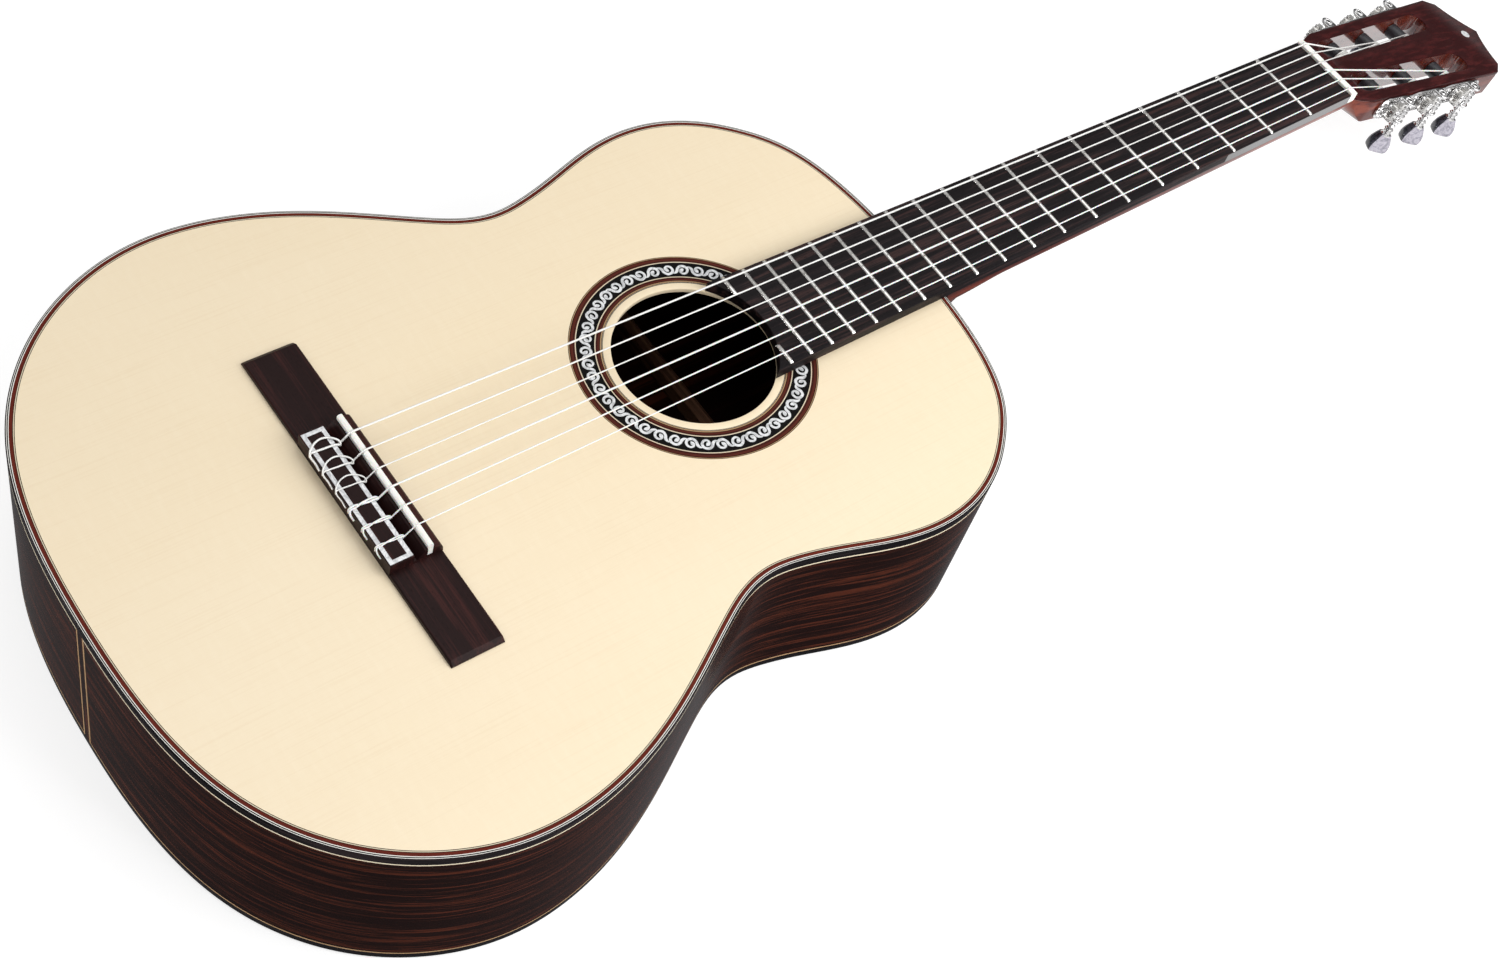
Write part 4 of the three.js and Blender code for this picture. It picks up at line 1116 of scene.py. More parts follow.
def make_head():
    """The head's wood and its face, with two slots through both."""
    low, high = -HEAD_THICK, -FACE_THICK - 0.05
    slots = [slot_outline(side) for side in SIDES.values()]
    wood = piece("neck_head", plate_mesh([head_outline(), *slots], low, high, 0.7), "cedar", place=HEAD)
    solid_difference(wood, [cutter(head_envelope(), HEAD)], "INTERSECT")
    solid_difference(wood, roller_holes(STRINGS))
    slots = [slot_outline(side, 0.05) for side in SIDES.values()]
    mesh = plate_mesh([head_outline(), *slots], -FACE_THICK, 0, 0.5)
    face = rounded(piece("head_face", mesh, "face_rosewood", place=HEAD), 0.1)
    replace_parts(face, "head_faceplate")
    for name, side in SIDES.items():
        skin = plate_mesh([slot_outline(side, 0.02), slot_outline(side, -0.08)], low + 0.3, -0.5)
        wall = piece(f"slot_wall_{name}", skin, "lacquered_cedar", place=HEAD)
        solid_difference(wall, roller_holes(BANKS[name]))
    make_head_dot()


def make_head_dot():
    """A plain round dot in the crown."""
    radius, along, low, high = 3.1, 156.5, -0.3, 0.02
    dot = turned_mesh([(0, low), (radius, low), (radius, high), (0, high)], "z", (0, along, 0))
    piece("head_dot", dot, "white_pearl", place=HEAD)


def make_neck():
    """The shaft and heel in one skin, with close sections where the heel sweeps up, and the heel's cap."""
    sweep, end = 78, SCALE_LENGTH + 7
    crowded = [NECK_FOOT + sweep * (i / 30) ** 1.25 for i in range(31)]
    even = [crowded[-1] + (end - crowded[-1]) * i / 12 for i in range(1, 13)]
    shaft = piece("neck_shaft", loft_mesh([neck_section(y) for y in crowded + even]), "cedar")
    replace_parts(shaft, "neck")
    half, long = HEEL_HALF + 0.6, HEEL_LONG + 0.8
    outline = [(x * half, NECK_FOOT + y * long) for x, y in circle(0, 0, 1, 33, 0, math.pi)]
    top = HEEL_LOW + HEEL_CAP
    piece("heel_cap", plate_mesh([outline], HEEL_LOW, top, 0.5), "back_rosewood")
    piece("heel_line", plate_mesh([outline], top, top + 0.5), "white_line")


# ---------------------------------------------------------------- the fingerboard

FRETS = 19
FRET_WIDE = 2.5


def fret_place(number):
    return SCALE_LENGTH * 2 ** (-number / 12)


def make_fingerboard():
    """The board ends in a hollow arc, a little flatter than the sound hole and just over its edge."""
    overhang, flatter = 1.2, 4.9
    rim = HOLE_RADIUS - overhang + flatter
    end_half = board_half(HOLE_Y + rim / 2) + 0.4
    opening = math.asin(end_half / rim)
    arc = circle(0, HOLE_Y - flatter, rim, 33, math.pi / 2 + opening, -2 * opening)
    nut = SCALE_LENGTH - 0.1
    outline = [*arc, (board_half(nut), nut), (-board_half(nut), nut)]
    board = piece("fingerboard_wood", plate_mesh([outline], 0.02, BOARD_TOP, 0.45), "board_ebony")
    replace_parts(board, "fingerboard")
    start = BOARD_LO.y + 0.3
    for name, side in SIDES.items():
        ends = [(side * (board_half(y) + out), y) for y in (start, nut) for out in (0, 0.12)]
        strip = plate_mesh([[ends[0], ends[1], ends[3], ends[2]]], 0.1, BOARD_TOP - 0.45)
        piece(f"fingerboard_side_{name}", strip, "lacquered_ebony")
    for number in range(1, FRETS):
        y = fret_place(number)
        half = board_half(y) - 0.1
        piece(f"fret_{number}", fret_mesh(y, -half, half), "fret_steel")
    y = fret_place(FRETS)
    ends = math.sqrt(rim**2 - (y - HOLE_Y + flatter) ** 2) + 0.3, board_half(y) - 0.1
    for name, side in SIDES.items():
        mesh = fret_mesh(y, *sorted(side * end for end in ends))
        piece(f"fret_{FRETS}_{name}", mesh, "fret_steel")


def fret_mesh(y, x0, x1):
    """A crowned bar with ends filed at a slope, and a foot in the board."""
    slope, half, foot = 1.0, FRET_WIDE / 2, BOARD_TOP - 0.3
    arc = [(math.cos(a), math.sin(a)) for a in np.linspace(0, math.pi, 13)]
    filed = [(0, 0.12), (slope * 0.8, 0.88), (slope, 1)]
    sections = [(x0 + inwards, tall) for inwards, tall in filed]
    sections += [(x1 - inwards, tall) for inwards, tall in filed[::-1]]
    loops = []
    for x, tall in sections:
        crown = [Vector((x, y + c * half, BOARD_TOP + s * tall * FRET_TALL)) for c, s in arc]
        loops.append([*crown, Vector((x, y - half, foot)), Vector((x, y + half, foot))])
    return loft_mesh(loops)


# ---------------------------------------------------------------- nut, saddle and bridge

SADDLE_SPACING = 11.6
NUT_SPACING = 8
STRING_WIDE = {1: 1.09, 2: 0.89, 3: 0.74, 4: 1.02, 5: 0.82, 6: 0.71}
STRING_REST = 0.2
NUT_TOP = NUT_HI.z
SADDLE_TOP = SADDLE_HI.z


def string_x(number, spacing):
    return (number - 3.5) * spacing


def grooved_mesh(profile, half, spacing, rest, depth):
    """A bar across the strings from (y, z, is it on top) points, with a groove under each string."""
    xs = set(np.linspace(-half, half, 9))
    for number in STRINGS:
        reach = STRING_WIDE[number] / 2 + 0.15
        xs |= {string_x(number, spacing) + reach * t for t in np.linspace(-1, 1, 9)}
    loops = []
    for x in sorted(xs):
        cut = 0.0
        for number in STRINGS:
            reach = STRING_WIDE[number] / 2 + 0.14
            inside = 1 - ((x - string_x(number, spacing)) / reach) ** 2
            cut = max(cut, depth * math.sqrt(inside) if inside > 0 else 0)
        end = 0.35 if abs(abs(x) - half) < 1e-6 else 0
        loops.append([Vector((x, y, z + (rest - cut - end if top else 0))) for y, z, top in profile])
    return loft_mesh(loops)


def make_nut():
    y0, y1 = SCALE_LENGTH, NUT_HI.y
    top = NUT_TOP + STRING_REST
    profile = [(y0, 0.2, False), (y1, 0.2, False), (y1, top - 1.9, True)]
    for t in np.linspace(0, 1, 7):
        profile.append((y1 - 0.5 - t * (y1 - y0 - 0.8), top - 1.2 * (1 - t) ** 1.6 - 0.1, True))
    profile.append((y0, top - 0.35, True))
    nut = piece("nut_bone", grooved_mesh(profile, NUT_WIDE / 2, NUT_SPACING, 0.5, 0.5), "bone")
    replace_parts(nut, "nut")


def make_saddle():
    half_thick = (SADDLE_HI.y - SADDLE_LO.y) / 2
    top = SADDLE_TOP + STRING_REST
    profile = [(-half_thick, SADDLE_LO.z, False), (half_thick, SADDLE_LO.z, False)]
    for t in np.linspace(0, 1, 9):
        angle = math.pi * t
        profile.append((half_thick * math.cos(angle), top - 1.1 + 1.1 * math.sin(angle), True))
    mesh = grooved_mesh(profile, SADDLE_HI.x, SADDLE_SPACING, 0, 0.0)
    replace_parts(piece("saddle_bone", mesh, "bone"), "saddle")


BRIDGE_WING = 3.2
BLOCK_HALF = 41
BLOCK_LIP = 9.3
CHANNEL_FRONT, CHANNEL_BACK, CHANNEL_FLOOR = -7.0, -8.6, 4.2
TIE_HOLE_Z = 6.4
TIE_HOLE_RADIUS = 1.0


BLOCK_ROUND = 3.4  # how far the block's front curves down to the wings
TIE_FRAME = 2.2


def make_bridge():
    """Thin wings with filed ends, and a middle block: saddle slot, channel and tie block."""
    wings = piece("bridge_wings", wings_mesh(), "bridge_rosewood", smooth_below=25)
    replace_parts(rounded(wings, 0.15), "bridge")
    profile = block_profile()
    loops = [[Vector((x, y, z)) for y, z in profile] for x in (-BLOCK_HALF, BLOCK_HALF)]
    block = piece("bridge_block", loft_mesh(loops), "bridge_rosewood", smooth_below=25)
    hole = [(TIE_HOLE_RADIUS, BRIDGE_LO.y - 2), (TIE_HOLE_RADIUS, CHANNEL_BACK + 2)]
    holes = []
    for number in STRINGS:
        centre = (string_x(number, SADDLE_SPACING), 0, TIE_HOLE_Z)
        holes.append(cutter(turned_mesh(hole, "y", centre, 16)))
    rounded(solid_difference(block, holes), 0.3)
    loops = []
    for inset in (0, TIE_FRAME):
        x, y0, y1 = INLAY_HI.x - inset, INLAY_LO.y + inset, INLAY_HI.y - inset
        loops.append([(-x, y0), (x, y0), (x, y1), (-x, y1)])
    low, high = INLAY_HI.z - 0.8, INLAY_HI.z + 0.06
    inlay = piece("tie_block_frame", plate_mesh(loops, low, high, 0.12), "white_pearl")
    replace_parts(inlay, "tie_block_inlay")


def wings_mesh():
    """Both wings in one, crossing under the block."""
    front, back, half = BRIDGE_HI.y, BRIDGE_LO.y, BRIDGE_HI.x
    rounding = [(0, 0.9), (0.7, 0.25), (3, 0.05)]  # in from an edge, and down
    crown = [(front - inwards, drop) for inwards, drop in rounding]
    crown += [(back + inwards, drop) for inwards, drop in rounding[::-1]]
    loops = []
    right = [(BLOCK_HALF - 1, BRIDGE_WING), (half - 8, BRIDGE_WING)]  # along the wing, and how tall there
    right += [(half - 2.4, BRIDGE_WING - 0.2), (half, 1.0)]
    for x, tall in [*[(-x, tall) for x, tall in right[::-1]], *right]:
        loop = [Vector((x, back, 0.02)), Vector((x, front, 0.02))]
        loops.append(loop + [Vector((x, y, max(tall - drop, 0.3))) for y, drop in crown])
    return loft_mesh(loops)


def block_profile():
    """The block in (y, z): up its front, over the saddle's slot, down the ramp and over the tie block."""
    front, back, top = BRIDGE_HI.y, BRIDGE_LO.y, INLAY_HI.z
    slot_half, slot_floor = (SADDLE_HI.y - SADDLE_LO.y) / 2 + 0.04, 4
    rise = BLOCK_LIP - BRIDGE_WING
    profile = [(back, 0.02), (front, 0.02), (front, BRIDGE_WING)]
    for angle in np.linspace(0.15, math.pi / 2, 7):
        y = front - BLOCK_ROUND + BLOCK_ROUND * math.cos(angle)
        profile.append((y, BRIDGE_WING + rise * math.sin(angle)))
    profile += [(slot_half, BLOCK_LIP), (slot_half, slot_floor)]
    profile += [(-slot_half, slot_floor), (-slot_half, BLOCK_LIP), (-slot_half - 1.4, BLOCK_LIP)]
    profile += [(CHANNEL_FRONT, CHANNEL_FLOOR), (CHANNEL_BACK, CHANNEL_FLOOR)]
    return [*profile, (CHANNEL_BACK, top), (back, top)]


# ---------------------------------------------------------------- the strings


def bass_tie(x, over, radius):
    """Over the block, round the string in front of it, back over the block and down through the hole."""
    back, front = BRIDGE_LO.y, CHANNEL_BACK
    return [
        (x + 9.0, back - radius - 0.2, TIE_HOLE_Z + 0.6),
        (x + 5.0, back - radius - 0.2, TIE_HOLE_Z + 1.4),
        (x + 1.2, back - radius - 0.5, over - 1.4),
        (x - 0.8, back - radius * 0.4, over - 0.2),
        (x - 2.6, back + 1.6, over),
        (x - 4.4, back + 4.6, over),
        (x - 4.9, back + 8.0, over + 0.1),
        (x - 3.6, front - 1.2, over + 0.2),
        (x - 1.5, front + 1.2, over),
        (x - 0.1, front + 2.4, over - 1.2),
        (x + 1.1, front + 1.9, over - 1.9),
        (x + 1.5, front + 0.8, over - 0.5),
        (x + 1.0, front - 1.2, over + 0.2),
        (x + 0.5, back + 6, over),
        (x + 0.1, back + 1.2, over),
        (x, back - radius * 0.6, over - 0.5),
    ]


def treble_tie(x, over, radius):
    """Two close strands over the block, twisted once."""
    back, front = BRIDGE_LO.y, CHANNEL_BACK
    apart = radius + 0.1
    return [
        (x + 5.0, back - radius - 0.2, TIE_HOLE_Z + 0.4),
        (x + 2.2, back - radius - 0.6, TIE_HOLE_Z + 1.8),
        (x + apart, back - radius * 0.3, over - 0.3),
        (x + apart, back + 2.5, over),
        (x, back + 5.6, over + radius),
        (x - apart, back + 9, over),
        (x - apart, front - 0.6, over),
        (x - apart, front + 1.3, over - 0.9),
        (x, front + 2.0, over - 1.7),
        (x + apart, front + 1.3, over - 0.9),
        (x + apart, front - 0.6, over),
        (x + apart, back + 9, over),
        (x, back + 5.6, over - 0.1),
        (x - apart, back + 2.5, over),
        (x - apart * 0.6, back - radius * 0.3, over - 0.4),
    ]


BEHIND_NUT = Vector((0, 4.6, -0.35))  # where a string leaves the nut's slope, from the nut's edge


def string_path(number):
    """From its tie, through the hole, over saddle and nut, to the roller and round it."""
    radius = STRING_WIDE[number] / 2
    x, nut_x = string_x(number, SADDLE_SPACING), string_x(number, NUT_SPACING)
    over = INLAY_HI.z + 0.1 + radius
    tie = bass_tie(x, over, radius) if number < 4 else treble_tie(x, over, radius)
    saddle = Vector((x, 0, SADDLE_TOP + STRING_REST + radius))
    nut = Vector((nut_x, SCALE_LENGTH, NUT_TOP + STRING_REST + radius))
    onward = (nut - saddle).normalized()
    back, hole = BRIDGE_LO.y, TIE_HOLE_Z
    through = [(back - radius - 0.2, hole + 1.2), (back + 0.6, hole), (CHANNEL_BACK - 2, hole)]
    through += [(CHANNEL_BACK + 0.6, hole + 0.3), (-2.2, saddle.z - 1.3), (-0.9, saddle.z - 0.25)]
    points = [Vector(p) for p in tie] + [Vector((x, y, z)) for y, z in through]
    path = smooth_path([*points, saddle, saddle + onward * 2])
    place = TUNERS[number]
    to_tuner = place.inverted() @ BOARD
    back_of_nut = to_tuner @ (nut + BEHIND_NUT)
    winding = ROLLER_RADIUS + radius
    angle = -(math.atan2(-back_of_nut.z, -back_of_nut.y) + math.asin(winding / back_of_nut.yz.length))
    start = STRING_START[number]
    rise = math.copysign(2 * radius + 0.06, start)
    steps = 20
    coil = []
    for step in range(round(WINDING_TURNS * steps)):
        turn = step / steps
        spin = angle + 2 * math.pi * turn
        coil.append(Vector((start + rise * turn, winding * math.sin(spin), winding * math.cos(spin))))
    from_tuner = BOARD.inverted() @ place
    bend = smooth_path([nut - onward * 3, nut, nut + BEHIND_NUT, from_tuner @ coil[0]], 3)
    return path + bend[:-4] + [from_tuner @ p for p in coil]


def make_strings():
    for number in STRINGS:
        material = "wound_string" if number < 4 else "nylon_string"
        mesh = tube_mesh(string_path(number), STRING_WIDE[number] / 2)
        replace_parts(piece(f"string_{number}_whole", mesh, material, smooth_below=60), f"string_{number}")


# ---------------------------------------------------------------- the tuners

ROLLER_RADIUS = 4.75
ROLLER_HALF = 7.2
PIN_RADIUS, PIN_END = 2.5, -12.5
SHAFT_RADIUS = 2.9
STRING_START = {1: -0.8, 2: -2.6, 3: -3.9, 4: 2.6, 5: 2.9, 6: 3.2}
WINDING_TURNS = 3.2
BANKS = {"treble": (6, 5, 4), "bass": (1, 2, 3)}  # from the nut to the crown
TUNER_PITCH = 36
SHEET_IN, SHEET_OUT = 15.6, 17.1
PLATE_LO, PLATE_HI = measure("tuner_plate_treble", TUNERS[5])
GEAR_LO, GEAR_HI = measure("gear_5", TUNERS[5])
GEAR_TEETH = 14
GEAR_TIP, GEAR_ROOT, GEAR_PITCH = 7.05, 5.2, 6.3
WORM_LO, WORM_HI = measure("worm_5", TUNERS[5])
WORM_TIP, WORM_ROOT = 3.45, 1.6
WORM_OUT, WORM_ALONG = (GEAR_LO.x + GEAR_HI.x) / 2, 9
THREAD_HALF = 4.65
BUTTON_LO, BUTTON_HI = measure("button_5", TUNERS[5])
# A plate's own x becomes the way along the bank, its y the way out of the face, and its z outwards.
ONTO_SIDE = Matrix(((0, 0, 1, 0), (1, 0, 0, 0), (0, 1, 0, 0), (0, 0, 0, 1)))


def sheet_outline():
    """The plate's edge: pinched between the tuners, with a pointed lobe at each end."""
    start, end, high = PLATE_LO.y, PLATE_HI.y, PLATE_HI.z
    lobe = 9
    upper = []
    for y in np.linspace(start, end, 90):
        pinch = 0.5 + 0.5 * math.cos(2 * math.pi * (y - TUNER_PITCH / 2) / TUNER_PITCH)
        half = high - 0.8 * pinch**3
        from_end = min(y - start, end - y)
        if from_end < lobe:
            half = min(half, high * math.sqrt(1 - (1 - from_end / lobe) ** 2) ** 0.8)
        upper.append((y, max(half, 0.05)))
    return [*upper, *[(y, -half) for y, half in reversed(upper)]]


def spiral(y, z, mirror):
    """An engraved scroll on the plate: from its outer end in to its eye."""
    size, turns, per_turn = 2.5, 1.6, 16
    path = []
    for i in range(int(turns * per_turn)):
        t = i / (turns * per_turn)
        angle = 2 * math.pi * turns * t
        radius = size * (1 - t) ** 0.9 + 0.2
        across, up = mirror * radius * math.cos(angle), radius * math.sin(angle)
        path.append(Vector((SHEET_OUT, y + across, z + up)))
    return path


def engraving_mesh():
    """A raised border and scrolls between the tuners."""
    lift = SHEET_OUT
    border = [Vector((lift, y * 0.985 + 0.06, z * 0.90)) for y, z in sheet_outline()]
    meshes = [tube_mesh([*border, border[0]], 0.24, 6)]
    gaps = [-TUNER_PITCH / 2 + 3.5, TUNER_PITCH / 2 + 3.5, PLATE_LO.y + 5.5, PLATE_HI.y - 7]
    for middle in gaps:
        for mirror in (1, -1):
            for z in (2.9, -2.9):
                path = spiral(middle + mirror * 2.6, z, mirror)
                meshes.append(tube_mesh(path, lambda length: 0.42 - 0.012 * length, 6))
    for along in np.arange(PLATE_LO.y + 12, PLATE_HI.y - 12, 3.2):
        for z in (6.1, -6.1):
            leaf = [(lift, along - 1.2, z), (lift + 0.1, along, z * 0.94), (lift, along + 1.2, z)]
            meshes.append(tube_mesh(smooth_path([Vector(p) for p in leaf], 3), 0.34, 6))
    return joined_mesh(*meshes)


def screw_mesh(y, z, radius, out):
    """A domed head with a slot, its axis pointing outwards."""
    rim, dome = out + 0.15, radius * 0.42
    profile = [(0, out - 0.3), (radius, out - 0.3), (radius, rim)]
    profile += [(radius * math.cos(a), rim + dome * math.sin(a)) for a in np.linspace(0.2, 1.45, 6)]
    return turned_mesh([*profile, (0, rim + dome)], "x", (0, y, z), 24)


def slot_bar(y, z, radius, out, turn):
    """The tool that cuts a screw's slot."""
    reach, half = radius * 1.3, radius * 0.14
    corners = [(-reach, -half), (reach, -half), (reach, half), (-reach, half)]
    c, s = math.cos(turn), math.sin(turn)
    turned = [(y + a * c - b * s, z + a * s + b * c) for a, b in corners]
    return loft_mesh([[(x, *corner) for corner in turned] for x in (out + radius * 0.18, out + radius)])


def make_screw(name, y, z, radius, out, turn, place, body="root"):
    screw = piece(name, screw_mesh(y, z, radius, out), "nickel", body=body, place=place)
    return solid_difference(screw, [cutter(slot_bar(y, z, radius, out, turn), place)])


def ear_outline():
    """A bearing ear, seen along its worm: straight from the plate, then round the worm."""
    half = 4.1
    arc = circle(WORM_OUT, WORM_ALONG, half, 21, -math.pi / 2, math.pi)
    return [(SHEET_OUT - 0.3, WORM_ALONG - half), *arc, (SHEET_OUT - 0.3, WORM_ALONG + half)]


def make_tuner_plates():
    for side, bank in BANKS.items():
        place = TUNERS[bank[1]]
        holes = [circle(step * TUNER_PITCH, 0, SHAFT_RADIUS + 0.35, 24) for step in (-1, 0, 1)]
        mesh = plate_mesh([sheet_outline(), *holes], SHEET_IN, SHEET_OUT, 0.35)
        mesh.transform(ONTO_SIDE)
        sheet = piece(f"tuner_plate_{side}_sheet", mesh, "nickel", place=place)
        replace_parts(sheet, f"tuner_plate_{side}")
        piece(f"tuner_plate_{side}_engraving", engraving_mesh(), "nickel", place=place)
        spots = (PLATE_LO.y + 3.4, -TUNER_PITCH / 2 + 3.5, TUNER_PITCH / 2 + 3.5, PLATE_HI.y - 3.4)
        for number, y in enumerate(spots):
            make_screw(f"plate_screw_{side}_{number + 1}", y, 0, 1.75, SHEET_OUT, 0.7 + 1.1 * number, place)
        for number in bank:
            make_ears(number)


def make_ears(number):
    """The two ears that hold a worm."""
    thick = 1.5
    hole = circle(WORM_OUT, WORM_ALONG, 2.7, 24)
    for name, low in (("upper", PLATE_HI.z - thick), ("lower", PLATE_LO.z)):
        ear = plate_mesh([ear_outline(), hole], low, low + thick, 0.4, 3)
        piece(f"worm_ear_{name}_{number}", ear, "nickel", place=TUNERS[number])


def make_roller(number):
    """The barrel, the pin in the head's middle, and the shaft through the plate to the gear."""
    body, place = f"capstan_{number}", TUNERS[number]
    half, radius, bore = ROLLER_HALF, ROLLER_RADIUS, 2.1
    corner = [(radius - 0.5, 0), (radius - 0.12, 0.15), (radius, 0.5)]  # in from an end
    barrel = [(0, -half), *[(r, inwards - half) for r, inwards in corner]]
    barrel += [*[(r, half - inwards) for r, inwards in corner[::-1]], (0, half)]
    mesh = turned_mesh(barrel, "x", segments=48)
    roller = piece(f"roller_{number}_barrel", mesh, "roller_plastic", body, place)
    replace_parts(roller, f"roller_{number}")
    pin = [(0, PIN_END), (PIN_RADIUS - 0.4, PIN_END), (PIN_RADIUS, PIN_END + 0.4)]
    pin += [(PIN_RADIUS, -half + 0.1), (0, -half + 0.1)]
    shaft = [(0, half - 0.1), (SHAFT_RADIUS, half - 0.1), (SHAFT_RADIUS, SHEET_OUT + 0.5)]
    shaft += [(SHAFT_RADIUS - 0.3, SHEET_OUT + 0.9), (bore, GEAR_LO.x - 0.1), (bore, GEAR_HI.x + 0.2)]
    shaft.append((0, GEAR_HI.x + 0.2))
    mesh = joined_mesh(turned_mesh(pin, "x"), turned_mesh(shaft, "x"))
    piece(f"roller_{number}_shaft", mesh, "nickel", body, place)


def gear_mesh():
    """Straight teeth, one of them pointing at the worm, and a turned hollow in the outer face."""
    outline = []
    tooth = [(GEAR_ROOT, -0.82), (GEAR_ROOT + 0.25, -0.72), (GEAR_PITCH, -0.5), (GEAR_TIP, -0.28)]
    for number in range(GEAR_TEETH):
        middle = 2 * math.pi * number / GEAR_TEETH
        for radius, wide in [*tooth, *[(radius, -wide) for radius, wide in reversed(tooth)]]:
            angle = middle + wide / radius
            outline.append((radius * math.cos(angle), radius * math.sin(angle)))
    wheel = plate_mesh([outline, circle(0, 0, 2.1, 24)], GEAR_LO.x, GEAR_HI.x - 0.5, 0.12, 1)
    wheel.transform(ONTO_SIDE)
    hub = [(2.15, -0.6), (4.6, -0.6), (4.6, -0.15), (4.3, 0), (3.6, 0), (3.3, -0.3), (2.15, -0.3)]
    return joined_mesh(wheel, turned_mesh(hub, "x", (GEAR_HI.x, 0, 0), 40, ring=True))


def make_gear(number):
    body, place = f"capstan_{number}", TUNERS[number]
    wheel = piece(f"gear_{number}_wheel", gear_mesh(), "gear_steel", body, place, smooth_below=30)
    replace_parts(wheel, f"gear_{number}")
    make_screw(f"gear_{number}_screw", 0, 0, 2.7, GEAR_HI.x - 0.25, 0.5 * number, place, body)


def worm_mesh():
    """A shaft with a single thread, whose gap holds the gear's nearest tooth, and beads below the thread."""
    lead = 2 * math.pi * GEAR_PITCH / GEAR_TEETH
    centre = (WORM_OUT, WORM_ALONG, 0)
    per_turn = 24
    steps = round(2 * THREAD_HALF / lead * per_turn)
    loops = []
    for step in range(steps + 1):
        turn = (step - steps / 2) / per_turn
        angle = 2 * math.pi * (turn + 0.5) - math.pi / 2
        fade = min(1, (step + 1) / 8, (steps + 1 - step) / 8)
        tip = WORM_ROOT + (WORM_TIP - WORM_ROOT) * fade
        corners = [(WORM_ROOT - 0.3, -0.75), (tip - 0.15, -0.3), (tip, -0.18)]
        corners += [(tip, 0.18), (tip - 0.15, 0.3), (WORM_ROOT - 0.3, 0.75)]
        place = Vector(centre) + Vector((0, 0, turn * lead))
        loops.append([place + Vector((r * math.cos(angle), r * math.sin(angle), up)) for r, up in corners])
    top, bottom, ear = WORM_HI.z, WORM_LO.z, PLATE_LO.z
    long = ear - bottom
    shaft = [(0, bottom), (1.9, bottom)]
    beads = [(0.02, 2.3), (0.10, 2.3), (0.16, 1.3), (0.28, 1.3)]
    beads += [(0.34, 2.0), (0.42, 2.4), (0.5, 2.0), (0.56, 1.3)]
    beads += [(0.66, 1.3), (0.72, 2.2), (0.80, 2.7), (0.88, 2.2), (0.95, 1.7)]
    shaft += [(radius, bottom + long * t) for t, radius in beads]
    shaft += [(WORM_ROOT, ear - 0.1), (WORM_ROOT, top - 0.3), (WORM_ROOT - 0.3, top), (0, top)]
    return joined_mesh(loft_mesh(loops), turned_mesh(shaft, "z", centre, 28))


BUTTON_TURN = math.radians(30)
BUTTON_TOP = BUTTON_HI.z - 3.6  # the oval's; the ringed stem fills the rest
BUTTON_LONG = BUTTON_TOP - BUTTON_LO.z
BUTTON_HALF = (BUTTON_HI.y - BUTTON_LO.y) / 2
BUTTON_THICK = (BUTTON_HI.x - BUTTON_LO.x) / 2


def button_size(t):
    """Half the button's width and thickness, from its top at 0 to its foot at 1."""
    wide = 0.50 + 0.50 * math.sin(math.pi / 2 * min(t / 0.66, 1)) ** 1.1
    thick = 0.74 + 0.26 * math.sin(math.pi / 2 * min(t / 0.5, 1))
    if t > 0.70:
        foot = min((t - 0.70) / 0.30, 1)
        wide *= max(1 - foot**2.6, 0) ** 0.5
        thick *= max(1 - foot**5, 0) ** 0.6
    return BUTTON_HALF * wide, BUTTON_THICK * thick


def button_point(t, angle):
    """A point on the button's skin; its sections are squarish ovals."""
    power = 4.5
    wide, thick = button_size(t)
    c, s = math.cos(angle), math.sin(angle)
    across = math.copysign(abs(s) ** (2 / power), s) * wide
    out = math.copysign(abs(c) ** (2 / power), c) * thick
    return Vector((WORM_OUT + out, WORM_ALONG + across, BUTTON_TOP - BUTTON_LONG * t))


def button_heights():
    return [*np.linspace(0, 0.7, 9), *(0.70 + 0.3 * np.sin(np.linspace(0.12, 1, 12) * math.pi / 2))]


def button_mesh():
    angles = [2 * math.pi * i / 48 for i in range(48)]
    return loft_mesh([[button_point(min(t, 0.999), angle) for angle in angles] for t in button_heights()])


def button_face_mesh(side):
    """A thin pearly cover on one broad side, crowned across."""
    covered = 0.86
    loops = []
    for t in button_heights()[:-2]:
        wide, thick = button_size(t)
        height = BUTTON_TOP - BUTTON_LONG * t
        crown = [(share, thick - 0.06 + 0.16 * (1 - abs(share) ** 3)) for share in np.linspace(-1, 1, 15)]
        loop = []
        for share, out in [*crown, (0.9, thick * 0.8), (-0.9, thick * 0.8)]:
            loop.append((WORM_OUT + side * out, WORM_ALONG + share * wide * covered, height))
        loops.append(loop)
    return loft_mesh(loops)


# The rings of a button's stem: (radius, height above the CAD button's top)
STEM = [(0, 0.3), (2.2, 0.3), (2.9, 0), (2.9, -0.5), (1.7, -0.9), (1.7, -1.5), (2.5, -1.9), (2.5, -2.3)]
STEM += [(1.9, -2.6), (2.9, -3.1), (3.6, -3.5), (3.6, -4.3), (3.2, -4.8), (0, -4.8)]


def make_worm_and_button(number):
    """At rest each button stands a little turned from the head's side."""
    body, place = f"tuner_{number}", TUNERS[number]
    axis = Matrix.Translation((WORM_OUT, WORM_ALONG, 0))
    turned = place @ axis @ Matrix.Rotation(-BUTTON_TURN, 4, "Z") @ axis.inverted()
    worm = piece(f"worm_{number}_thread", worm_mesh(), "nickel", body, place, smooth_below=35)
    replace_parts(worm, f"worm_{number}")
    button = piece(f"button_{number}_oval", button_mesh(), "pearl", body, turned, smooth_below=50)
    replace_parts(button, f"button_{number}")
    for name, side in (("outer", 1), ("inner", -1)):
        mesh = button_face_mesh(side)
        piece(f"button_{number}_face_{name}", mesh, "grey_pearl", body, turned, smooth_below=50)
    stem = turned_mesh(STEM, "z", (WORM_OUT, WORM_ALONG, BUTTON_HI.z), 40)
    piece(f"button_{number}_stem", stem, "nickel", body, place)


# ---------------------------------------------------------------- camera, floor and light


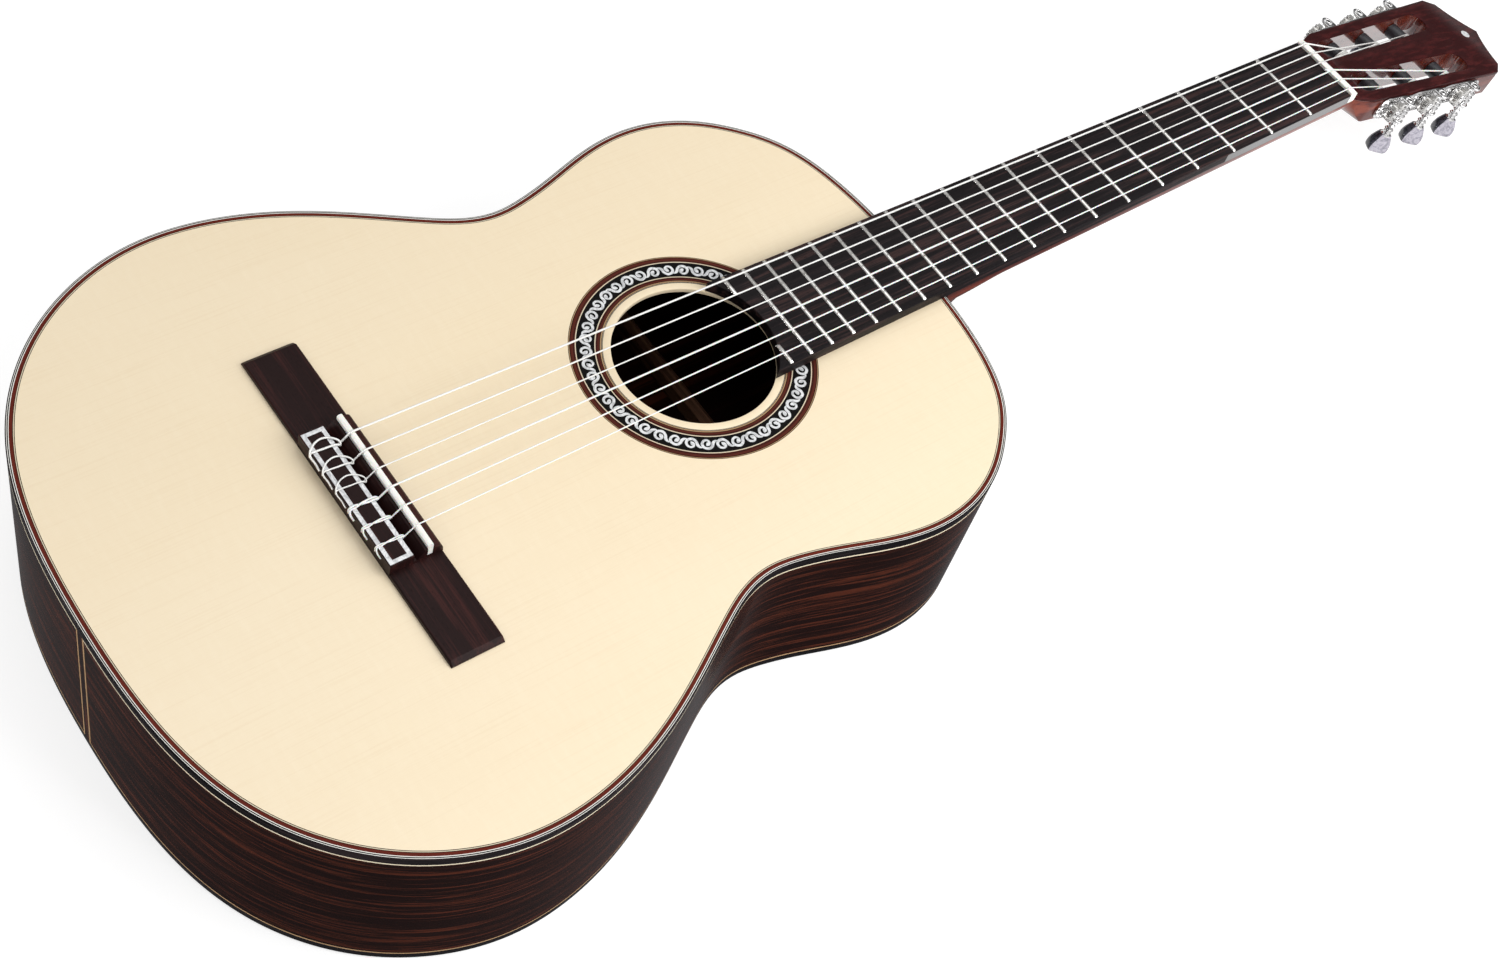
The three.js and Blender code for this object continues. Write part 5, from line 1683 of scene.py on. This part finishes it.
CAMERA_PLACE, CAMERA_TARGET = Vector((460.6, -341.9, 836.1)), Vector((75.0, 159.5, 0))
CAMERA_ROLL = math.radians(20.117)
LENS, SENSOR = 52.04, 36


def make_camera():
    """Above the treble side, looking at the middle, and rolled so the neck climbs to the right."""
    data = bpy.data.cameras.new("camera")
    data.lens, data.sensor_width, data.clip_end = LENS, SENSOR, 20
    camera = linked("camera", data)
    board, start = BOARD.to_3x3().normalized(), BOARD @ CAMERA_PLACE
    look = board.inverted() @ (BOARD @ CAMERA_TARGET - start)
    turn = board.to_4x4() @ look.to_track_quat("-Z", "Y").to_matrix().to_4x4()
    camera.matrix_world = Matrix.Translation(start) @ turn @ Matrix.Rotation(CAMERA_ROLL, 4, "Z")
    bpy.context.scene.camera = camera


def make_floor():
    half, clear = 4, 0.002
    work = bmesh.new()
    bmesh.ops.create_grid(work, x_segments=8, y_segments=8, size=half)
    mesh = bpy.data.meshes.new("floor")
    work.to_mesh(mesh)
    work.free()
    floor = linked("floor", mesh)
    floor.location.z = -clear
    mesh.materials.append(floor_material())


SKY = 0.64  # how bright the studio's ceiling is
# How bright the studio is from the horizon at 0 to straight up at 1.
WALLS = [(0.0, 0.10), (0.30, 0.16), (0.42, 0.95), (0.60, 1.0), (0.72, 0.55), (0.80, 1.0)]
OVERHEAD = 0.62  # the power of the wide soft light overhead
# Each lamp: its place and target in the soundboard's frame, its size in metres, and its power.
LAMPS = {
    "waist": ((900, 150, -20), (120, 60, -50), (0.12, 0.4), 3),
    "head": ((700, 1100, 500), (0, 750, 0), (0.3, 0.5), 3),
    "right": ((900, 500, 800), (250, 250, 0), (0.8, 0.8), 8),
    "tail": ((-500, -1100, -60), (0, -200, -60), (0.6, 0.1), 7),
}


def make_lamp(data, place, target):
    """A lamp at a place in the soundboard's frame, turned towards another."""
    lamp = linked(data.name, data)
    start, end = BOARD @ Vector(place), BOARD @ Vector(target)
    turn = (end - start).to_track_quat("-Z", "Y").to_matrix().to_4x4()
    lamp.matrix_world = Matrix.Translation(start) @ turn
    return lamp


def make_light():
    world = bpy.data.worlds.new("studio")
    world.use_nodes = True
    tree = world.node_tree
    direction = node(tree, "TexCoord").outputs["Generated"]
    up = node(tree, "SeparateXYZ", {0: direction}).outputs[2]
    walls = ramp(tree, up, *[(place, (level, level, level)) for place, level in WALLS])
    seen = mixed(tree, node(tree, "LightPath").outputs["Is Camera Ray"], walls, (1, 1, 1))
    background = tree.nodes["Background"]
    tree.links.new(seen, background.inputs["Color"])
    background.inputs["Strength"].default_value = SKY
    bpy.context.scene.world = world
    overhead = bpy.data.lights.new("overhead", "SUN")
    overhead.angle = math.radians(50)
    overhead.energy = OVERHEAD
    make_lamp(overhead, (-200, 300, 1500), (0, 150, 0))
    for name, (place, target, size, power) in LAMPS.items():
        data = bpy.data.lights.new(name, "AREA")
        data.shape = "RECTANGLE"
        data.size, data.size_y = size
        data.energy = power
        make_lamp(data, place, target).visible_camera = False
    bpy.context.scene.view_settings.view_transform = "Standard"


def make_guitar():
    make_soundboard(make_top_edge())
    make_rosette()
    make_sides()
    make_back()
    dress_inside()
    make_neck()
    make_head()
    make_fingerboard()
    make_nut()
    make_saddle()
    make_bridge()
    make_strings()
    make_tuner_plates()
    for number in STRINGS:
        make_roller(number)
        make_gear(number)
        make_worm_and_button(number)


make_camera()
make_light()
make_floor()
make_guitar()
bpy.context.view_layer.update()
